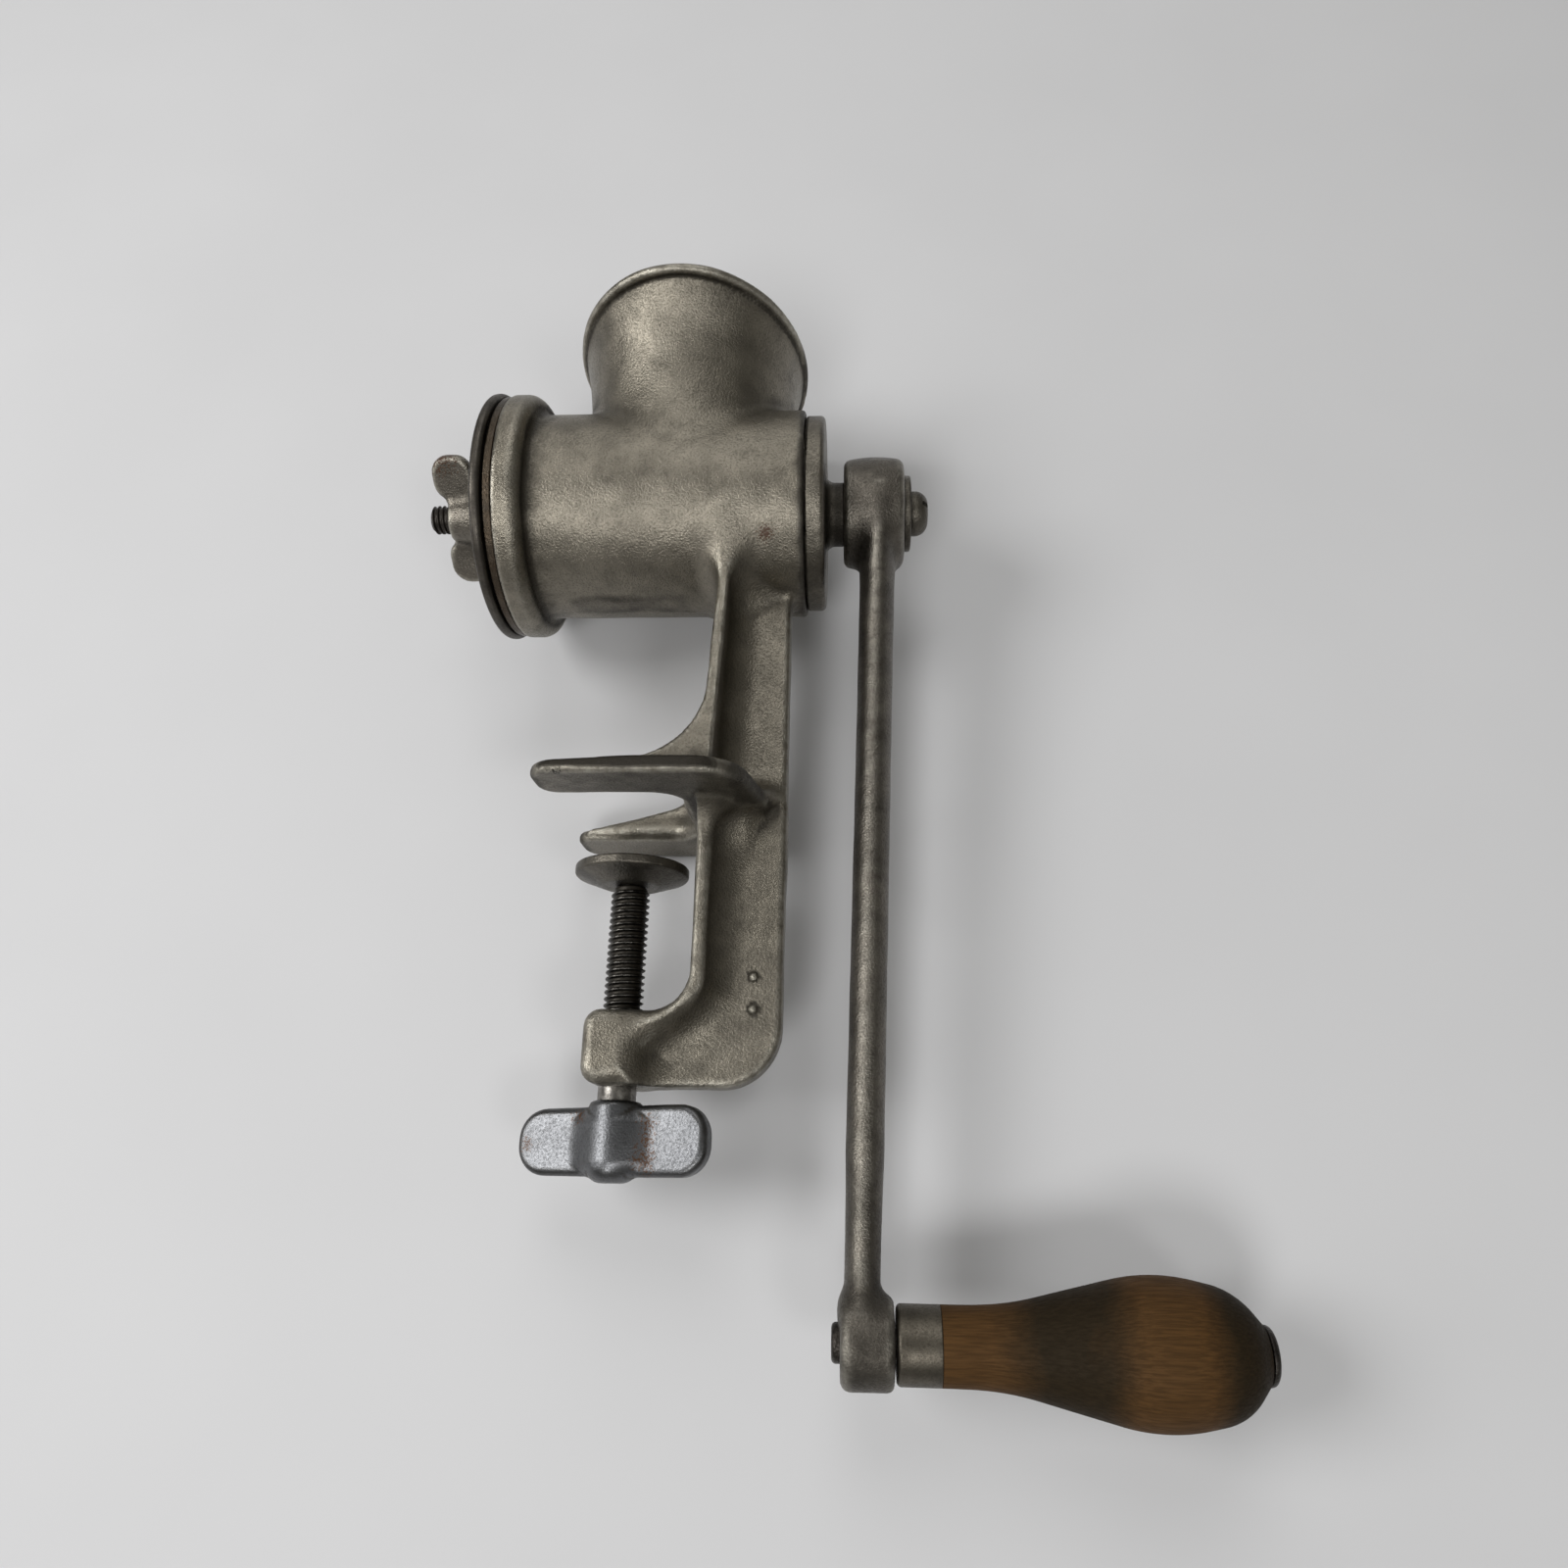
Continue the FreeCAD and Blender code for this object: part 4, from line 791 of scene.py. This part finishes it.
def wing_nut_field():
    """Wing nut: a flat outline of two round ears, turned about the barrel's axis, and a tapered hub."""
    size = sizes()
    ears_plan = Template([(-61.9, 18.5, 5.0), (-61.9, 8.7, 4.6), (-57.5, 4.8, 0), (-57.5, -4.8, 0),
                          (-61.3, -8.7, 4.6), (-61.3, -18.5, 5.0), (-51.3, -18.5, 4.2), (-49.0, -4.8, 0),
                          (-49.0, 4.8, 0), (-51.3, 18.5, 4.2)])
    hub_plan = Template([(-58.5, -6.0, 1.0), (-58.5, 6.0, 1.0), (-46.6, 7.6, 0.8), (-46.6, -7.6, 0.8)])
    ears_turn = 54.0
    ear_half = 1.7

    def field(x, y, z):
        up = z - BARREL_AXIS
        ear, flat = swung(up, y, ears_turn)
        ears = prism(ears_plan(x, ear), np.abs(flat) - ear_half, 1.2)
        around = np.hypot(y, up)
        nut = joined(ears, hub_plan(x, around), 2.0)
        nut = carved(nut, around - size("stud_radius") - 0.08, 0.4)
        return nut + 0.6 * size("cast_wobble") * wobble(2 * x, 2 * y, 2 * z)
    return field


def thumb_wing_field():
    """Thumb wing: a flat round-cornered plate, turned about the clamp screw, and a domed hub."""
    size = sizes()
    plate_plan = Template([(-23.6, -86.2, 6.8), (23.6, -86.2, 6.8), (23.6, -70.1, 6.8), (-23.6, -71.4, 6.8)])
    hub_plan = Template([(-6.2, -69.6, 1.2), (-6.2, -87.6, 4.0), (6.2, -87.6, 4.0), (6.2, -69.6, 1.2)])
    plate_turn = 14.0
    plate_half = 2.6
    socket_radius = 4.5
    socket_end = -80.6

    def field(x, y, z):
        reach, flat = swung(x, y, plate_turn)
        plate = prism(plate_plan(reach, z), np.abs(flat) - plate_half, 1.6)
        around = np.hypot(x, y)
        wing = joined(plate, hub_plan(around, z), 4.6 - 3.8 * ramp(np.abs(z + 78.7), 4, 8))
        wing = carved(wing, np.maximum(around - socket_radius, socket_end - z), 0.4)
        return wing + 0.8 * size("cast_wobble") * wobble(1.5 * x, 1.5 * y, 1.5 * z)
    return field


def threaded(along, core, crest, pitch, start, stop, axis, centre):
    """A screw turned on a helix. The radius goes up and down once for each pitch along the axis, set back by
    the angle round it, with a flat crest and root, and fades into the core at both ends of the thread."""
    phase = np.mod(along[:, None] / pitch - ANGLES[None, :] / (2 * np.pi), 1)
    tooth = np.clip(1.35 - 4.2 * np.abs(phase - 0.5), 0, 1)
    fade = ramp(along, start, start + pitch) * (1 - ramp(along, stop - pitch, stop))
    radius = core[:, None] + (crest - core[:, None]) * tooth * fade[:, None]
    return turned_points(along, radius, axis, centre)


# Floor that the grinder lies on: its place along Y at the hopper's rim, its slope and its reach
FLOOR_PLACE = 42.9
FLOOR_SLOPE = 0.0591
FLOOR_REACH = 2200.0
# Soft lamps: name, direction from the grinder, width in metres and share of the lamps' power
LAMPS = (("key_lamp", (-0.69, -0.72, 0.03), 0.55, 0.42),
         ("low_lamp", (-0.14, -0.81, -0.57), 0.38, 0.27),
         ("window_lamp", (-0.90, -0.38, -0.15), 0.6, 0.10),
         ("high_lamp", (-0.04, -0.82, 0.57), 0.6, 0.13),
         ("top_lamp", (-0.10, -0.46, 0.88), 0.9, 0.12),
         ("side_lamp", (0.40, -0.80, -0.44), 0.25, 0.09))


# Operators
class GRINDER_OT_stage(bpy.types.Operator):
    """Pale floor that the grinder lies on, soft lamps and the camera"""
    bl_idname = "grinder.stage"
    bl_label = "Stage"

    def execute(self, context):
        stage = context.scene.grinder_stage
        corners = []
        for across, height in ((-1, -1), (1, -1), (1, 1), (-1, 1)):
            place = FLOOR_PLACE + FLOOR_SLOPE * (height * FLOOR_REACH - RIM_HEIGHT)
            corners.append((across * FLOOR_REACH, place, height * FLOOR_REACH))
        floor = mesh_object("floor", corners, [(0, 1, 2, 3)])
        cloth, tree, shader, where = new_material("pale_floor")
        shader.inputs["Roughness"].default_value = 0.9
        shader.inputs["Specular IOR Level"].default_value = 0.1
        tone = noise(tree, where, 14.0, 2.0)
        tree.links.new(blend(tree, tone, dimmed(stage.floor, 0.94), stage.floor), shader.inputs["Base Color"])
        behind = tree.nodes.new("ShaderNodeNewGeometry").outputs["Backfacing"]
        clear = tree.nodes.new("ShaderNodeBsdfTransparent").outputs["BSDF"]
        mixed = add(tree, "ShaderNodeMixShader", {0: behind, 1: shader.outputs["BSDF"], 2: clear})
        output = [node for node in tree.nodes if node.type == "OUTPUT_MATERIAL"][0]
        tree.links.new(mixed.outputs[0], output.inputs["Surface"])
        floor.data.materials.append(cloth)

        world = bpy.data.worlds.new("studio")
        world.use_nodes = True
        tree = world.node_tree
        tree.nodes.clear()
        room = add(tree, "ShaderNodeBackground", {"Color": (*stage.room, 1.0)})
        pale = add(tree, "ShaderNodeBackground", {"Color": (*stage.backdrop, 1.0)})
        seen = tree.nodes.new("ShaderNodeLightPath").outputs["Is Camera Ray"]
        mixed = add(tree, "ShaderNodeMixShader", {0: seen, 1: room.outputs[0], 2: pale.outputs[0]})
        output = tree.nodes.new("ShaderNodeOutputWorld")
        tree.links.new(mixed.outputs[0], output.inputs["Surface"])
        context.scene.world = world

        middle = Vector((0.03, 0.0, 0.02))
        distance = 1.25
        for name, toward, across, part in LAMPS:
            lamp = bpy.data.lights.new(name, "AREA")
            lamp.shape = "DISK"
            lamp.size = across
            lamp.energy = stage.lamp_power * part
            holder = bpy.data.objects.new(name, lamp)
            toward = Vector(toward).normalized()
            turn = toward.to_track_quat("Z", "Y").to_matrix().to_4x4()
            holder.matrix_world = Matrix.Translation(middle + toward * distance) @ turn
            holder.visible_camera = False
            context.scene.collection.objects.link(holder)

        camera = bpy.data.cameras.new("camera")
        camera.sensor_width = 36.0
        camera.lens = stage.lens
        camera.clip_start = 0.01
        camera.clip_end = 20.0
        holder = bpy.data.objects.new("camera", camera)
        right = Vector((0.9981, 0.0569, 0.0222)).normalized()
        forward = Vector((-0.0611, 0.9363, 0.3458)).normalized()
        upward = right.cross(forward).normalized()
        right = forward.cross(upward)
        turn = Matrix((right, upward, -forward)).transposed().to_4x4()
        eye = Vector((0.05504, -0.27098, -0.09072))
        holder.matrix_world = Matrix.Translation(eye) @ turn
        context.scene.collection.objects.link(holder)
        context.scene.camera = holder
        context.scene.view_settings.view_transform = "Standard"
        return {"FINISHED"}


class PieceOperator:
    """What the operators share that make pieces."""

    def execute(self, context):
        self.make(context.scene.grinder_finish)
        return {"FINISHED"}


class GRINDER_OT_casting(PieceOperator, bpy.types.Operator):
    """Barrel, hopper, leg, fork and lower arm"""
    bl_idname = "grinder.casting"
    bl_label = "Body Casting"

    def make(self, finish):
        size = sizes()
        piece = cast_piece("casting", casting_field(), (-37.6, -42.4, -66.5), (42.0, 42.4, RIM_HEIGHT),
                           size("casting_step"), casting_marks)
        # the edge colour paints a highlight on the near foot's lower edge, and the dark colour paints shade
        # with the dirt in the hollows
        material = worn_metal("tinned_casting", finish.tin, finish.worn_and_highlit_tin, rust=0.0, noted=True,
                              rust_spots=[(32.6, -20.6, 70.5, 2.1)],
                              dark_spots=[(-12.8, -33.0, -0.5, 1.6), (28.1, -26.0, 0.5, 2.0)])
        finish_piece(piece, "frame", "body_casting", material)


class GRINDER_OT_mouth(PieceOperator, bpy.types.Operator):
    """Fixed ring, revolving cutter and feed screw"""
    bl_idname = "grinder.mouth"
    bl_label = "Ring, Cutter and Feed Screw"

    def make(self, finish):
        dress_node("fixed_ring", worn_metal("ring_iron", (0.075, 0.055, 0.037), finish.iron, rust=0.25))
        dress_node("revolving_cutter", worn_metal("cutter_steel", (0.085, 0.076, 0.068), finish.tin,
                                                  rough=(0.36, 0.5), bump=0.1, rust=0.05))
        dress_node("feed_screw", worn_metal("feed_iron", (0.22, 0.2, 0.165), finish.tin, rust=0.22,
                                            shade=0.35, greasy=(47.6, 50.2)))


class GRINDER_OT_threads(PieceOperator, bpy.types.Operator):
    """Cutter stud and clamp screw"""
    bl_idname = "grinder.threads"
    bl_label = "Threads"

    def make(self, finish):
        size = sizes()
        material = worn_metal("dark_thread", finish.dark_steel, finish.iron, rough=(0.34, 0.5), bump=0.12)
        crest = size("stud_radius")
        core = crest - 0.62
        pitch = size("stud_pitch")
        along = np.concatenate(([-64.2, -64.2, -63.6], np.arange(-63.5, -46.0, pitch / 12), [-27.6, -27.3]))
        radius = np.full(len(along), core)
        radius[0] = core - 0.9
        radius[1] = core - 0.6
        points, *faces = threaded(along, radius, crest, pitch, -64.6, -46.2, 0, (0, 0, BARREL_AXIS))
        stud = mesh_object("stud", points, *faces)
        finish_piece(stud, "crank", "cutter_stud", material)

        crest = size("clamp_radius")
        core = crest - 0.75
        pitch = size("clamp_pitch")
        shank = worn_metal("clamp_steel", (0.04, 0.037, 0.034), (0.6, 0.57, 0.52), rough=(0.26, 0.38),
                           bump=0.05, rust=0.08, noted=True)
        foot = [(-80.6, 4.0), (-80.1, 4.5), (-66.4, 4.5), (-64.2, 4.5), (-62.4, 4.5), (-62.0, core)]
        head = [(-18.8, core), (-18.4, core - 0.4), (-18.4, 3.0), (-14.9, 3.0), (-14.9, 5.2), (-14.1, 5.2),
                (-13.6, 4.7)]
        middle = np.arange(-61.9, -18.9, pitch / 12)
        along = np.concatenate(([z for z, _ in foot], middle, [z for z, _ in head]))
        radius = np.concatenate(([r for _, r in foot], np.full(len(middle), core), [r for _, r in head]))
        points, *faces = threaded(along, radius, crest, pitch, -62.0, -18.8, 2, (0, 0, 0))
        clamp = mesh_object("clamp_thread", points, *faces)
        stands = (np.hypot(points[:, 0], points[:, 1]) - core) / (crest - core)
        plain = 0.8 * (1 - ramp(points[:, 2], -66, -64))
        # painted highlight on the thread's crests and painted shade in its roots; the plain shank below the
        # thread also takes the bright second colour
        note(clamp, "edge", np.maximum(0.3 * ramp(stands, 0.8, 1), plain))
        note(clamp, "hollow", (1 - ramp(stands, 0, 0.6)) * (1 - plain))
        finish_piece(clamp, "screw", "clamp_screw", shank)


class GRINDER_OT_wing_nut(PieceOperator, bpy.types.Operator):
    """Wing nut that holds the cutter"""
    bl_idname = "grinder.wing_nut"
    bl_label = "Wing Nut"

    def make(self, finish):
        piece = cast_piece("wing_nut", wing_nut_field(), (-62.5, -16.5, BARREL_AXIS - 12.5),
                           (-46.6, 16.5, BARREL_AXIS + 12.5), sizes()("small_step"))
        material = worn_metal("nut_tin", (0.21, 0.19, 0.16), finish.worn_and_highlit_tin, rust=0.2, noted=True,
                              rust_spots=[(-58.5, -14.5, 101.0, 5.0)])
        finish_piece(piece, "nut", "cutter_wing_nut", material)


class GRINDER_OT_crank(PieceOperator, bpy.types.Operator):
    """Crank with its hub, bar and handle boss"""
    bl_idname = "grinder.crank"
    bl_label = "Crank"

    def make(self, finish):
        piece = cast_piece("crank", crank_field(), (51.5, -15.7, HANDLE_AXIS - 9.6),
                           (69.0, 15.7, BARREL_AXIS + 15.8), 0.8, crank_marks)
        material = worn_metal("crank_iron", finish.iron, finish.worn_and_highlit_tin, rough=(0.3, 0.48), rust=0.1,
                              noted=True, shade=0.45)
        finish_piece(piece, "crank", "crank_arm", material)


class GRINDER_OT_fastening(PieceOperator, bpy.types.Operator):
    """Washer and screw that hold the crank, and the handle's spindle"""
    bl_idname = "grinder.fastening"
    bl_label = "Washer, Screw and Spindle"

    def make(self, finish):
        steel = (0.12, 0.11, 0.092)
        dress_node("crank_washer", worn_metal("washer_steel", steel, finish.tin, rust=0.2))
        dress_node("crank_screw", worn_metal("screw_steel", steel, finish.tin, rough=(0.35, 0.5)))
        dress_node("handle_spindle", worn_metal("spindle_steel", finish.dark_steel, finish.iron))


class GRINDER_OT_handle(PieceOperator, bpy.types.Operator):
    """Wooden grip and its ferrule"""
    bl_idname = "grinder.handle"
    bl_label = "Handle"

    def make(self, finish):
        belly = sizes()("grip_radius")
        outline = rounded([(65.3, 7.3, 0), (73.9, 7.3, 0), (73.9, 8.1, 0), (87.0, 8.1, 60),
                           (119.5, belly + 0.7, 40), (136.0, belly - 2.8, 14), (141.3, 6.3, 0.6),
                           (141.3, 3.3, 0)], chord=0.5)
        walk = np.concatenate(([0], np.cumsum(np.linalg.norm(np.diff(outline, axis=0), axis=1))))
        step = np.union1d(walk, np.arange(0, walk[-1], 0.9))
        along = np.interp(step, walk, outline[:, 0])
        radius = np.interp(step, walk, outline[:, 1])
        uneven = 0.12 * np.sin(2 * ANGLES[None, :] + 0.05 * along[:, None])
        grow = ramp(along, 74.5, 84)[:, None] * (1 - ramp(along, 136, 141))[:, None]
        points, *faces = turned_points(along, radius[:, None] + uneven * grow, 0, (0, 0, HANDLE_AXIS))
        grip = mesh_object("grip", points, *faces)
        band = 1 - ramp(along, 76, 98) + ramp(along, 106, 118) * (1 - ramp(along, 123, 134))
        note(grip, "worn", np.repeat(band, RING))
        finish_piece(grip, "grip", "handle_grip", oiled_wood("grip_wood"))
        dress_node("handle_ferrule", worn_metal("ferrule_steel", (0.125, 0.11, 0.088), finish.tin,
                                                rough=(0.36, 0.5), bump=0.12, rust=0.2))


class GRINDER_OT_clamp(PieceOperator, bpy.types.Operator):
    """Clamp pad and thumb wing"""
    bl_idname = "grinder.clamp"
    bl_label = "Clamp Pad and Thumb Wing"

    def make(self, finish):
        piece = cast_piece("thumb_wing", thumb_wing_field(), (-23.8, -9.0, -87.8), (23.8, 9.0, -69.4),
                           sizes()("small_step"))
        # the wing's edge colour is dark: painted shade on the plate's edges
        material = worn_metal("wing_tin", (0.175, 0.178, 0.185), (0.07, 0.066, 0.06), rough=(0.3, 0.42),
                              bump=0.2, rust=0.05, noted=True, shade=0.7,
                              rust_spots=[(8.6, -3.6, -74.5, 2.2), (8.4, -3.8, -78.5, 2.2),
                                          (8.2, -3.8, -82.5, 2.8), (-8.7, -2.0, -72.9, 2.0),
                                          (-20.6, 3.5, -79.5, 1.8)])
        finish_piece(piece, "screw", "clamp_thumb_wing", material)
        dress_node("clamp_pad", worn_metal("pad_iron", (0.16, 0.147, 0.125), finish.tin, rust=0.1,
                                           shade=0.35))


class GRINDER_PT_panel(bpy.types.Panel):
    """Lists the grinder's settings and pieces"""
    bl_idname = "GRINDER_PT_panel"
    bl_label = "Meat Grinder"
    bl_space_type = "VIEW_3D"
    bl_region_type = "UI"
    bl_category = "Grinder"

    def draw(self, context):
        scene = context.scene
        for group in (scene.grinder_sizes, scene.grinder_finish, scene.grinder_stage):
            box = self.layout.box()
            for name in group.__annotations__:
                box.prop(group, name)
        for operator in OPERATORS:
            self.layout.operator(operator.bl_idname)


OPERATORS = (GRINDER_OT_stage, GRINDER_OT_casting, GRINDER_OT_mouth, GRINDER_OT_threads, GRINDER_OT_wing_nut,
             GRINDER_OT_crank, GRINDER_OT_fastening, GRINDER_OT_handle, GRINDER_OT_clamp)
SETTINGS = {"grinder_sizes": GrinderSizes, "grinder_finish": GrinderFinish, "grinder_stage": GrinderStage}
CLASSES = (*SETTINGS.values(), *OPERATORS, GRINDER_PT_panel)


def register():
    for item in CLASSES:
        bpy.utils.register_class(item)
    for name, group in SETTINGS.items():
        setattr(bpy.types.Scene, name, PointerProperty(type=group))


def unregister():
    for name in SETTINGS:
        delattr(bpy.types.Scene, name)
    for item in reversed(CLASSES):
        bpy.utils.unregister_class(item)


def main():
    """Makes every piece in order."""
    register()
    for operator in OPERATORS:
        family, name = operator.bl_idname.split(".")
        getattr(getattr(bpy.ops, family), name)()


if __name__ == "__main__":
    main()
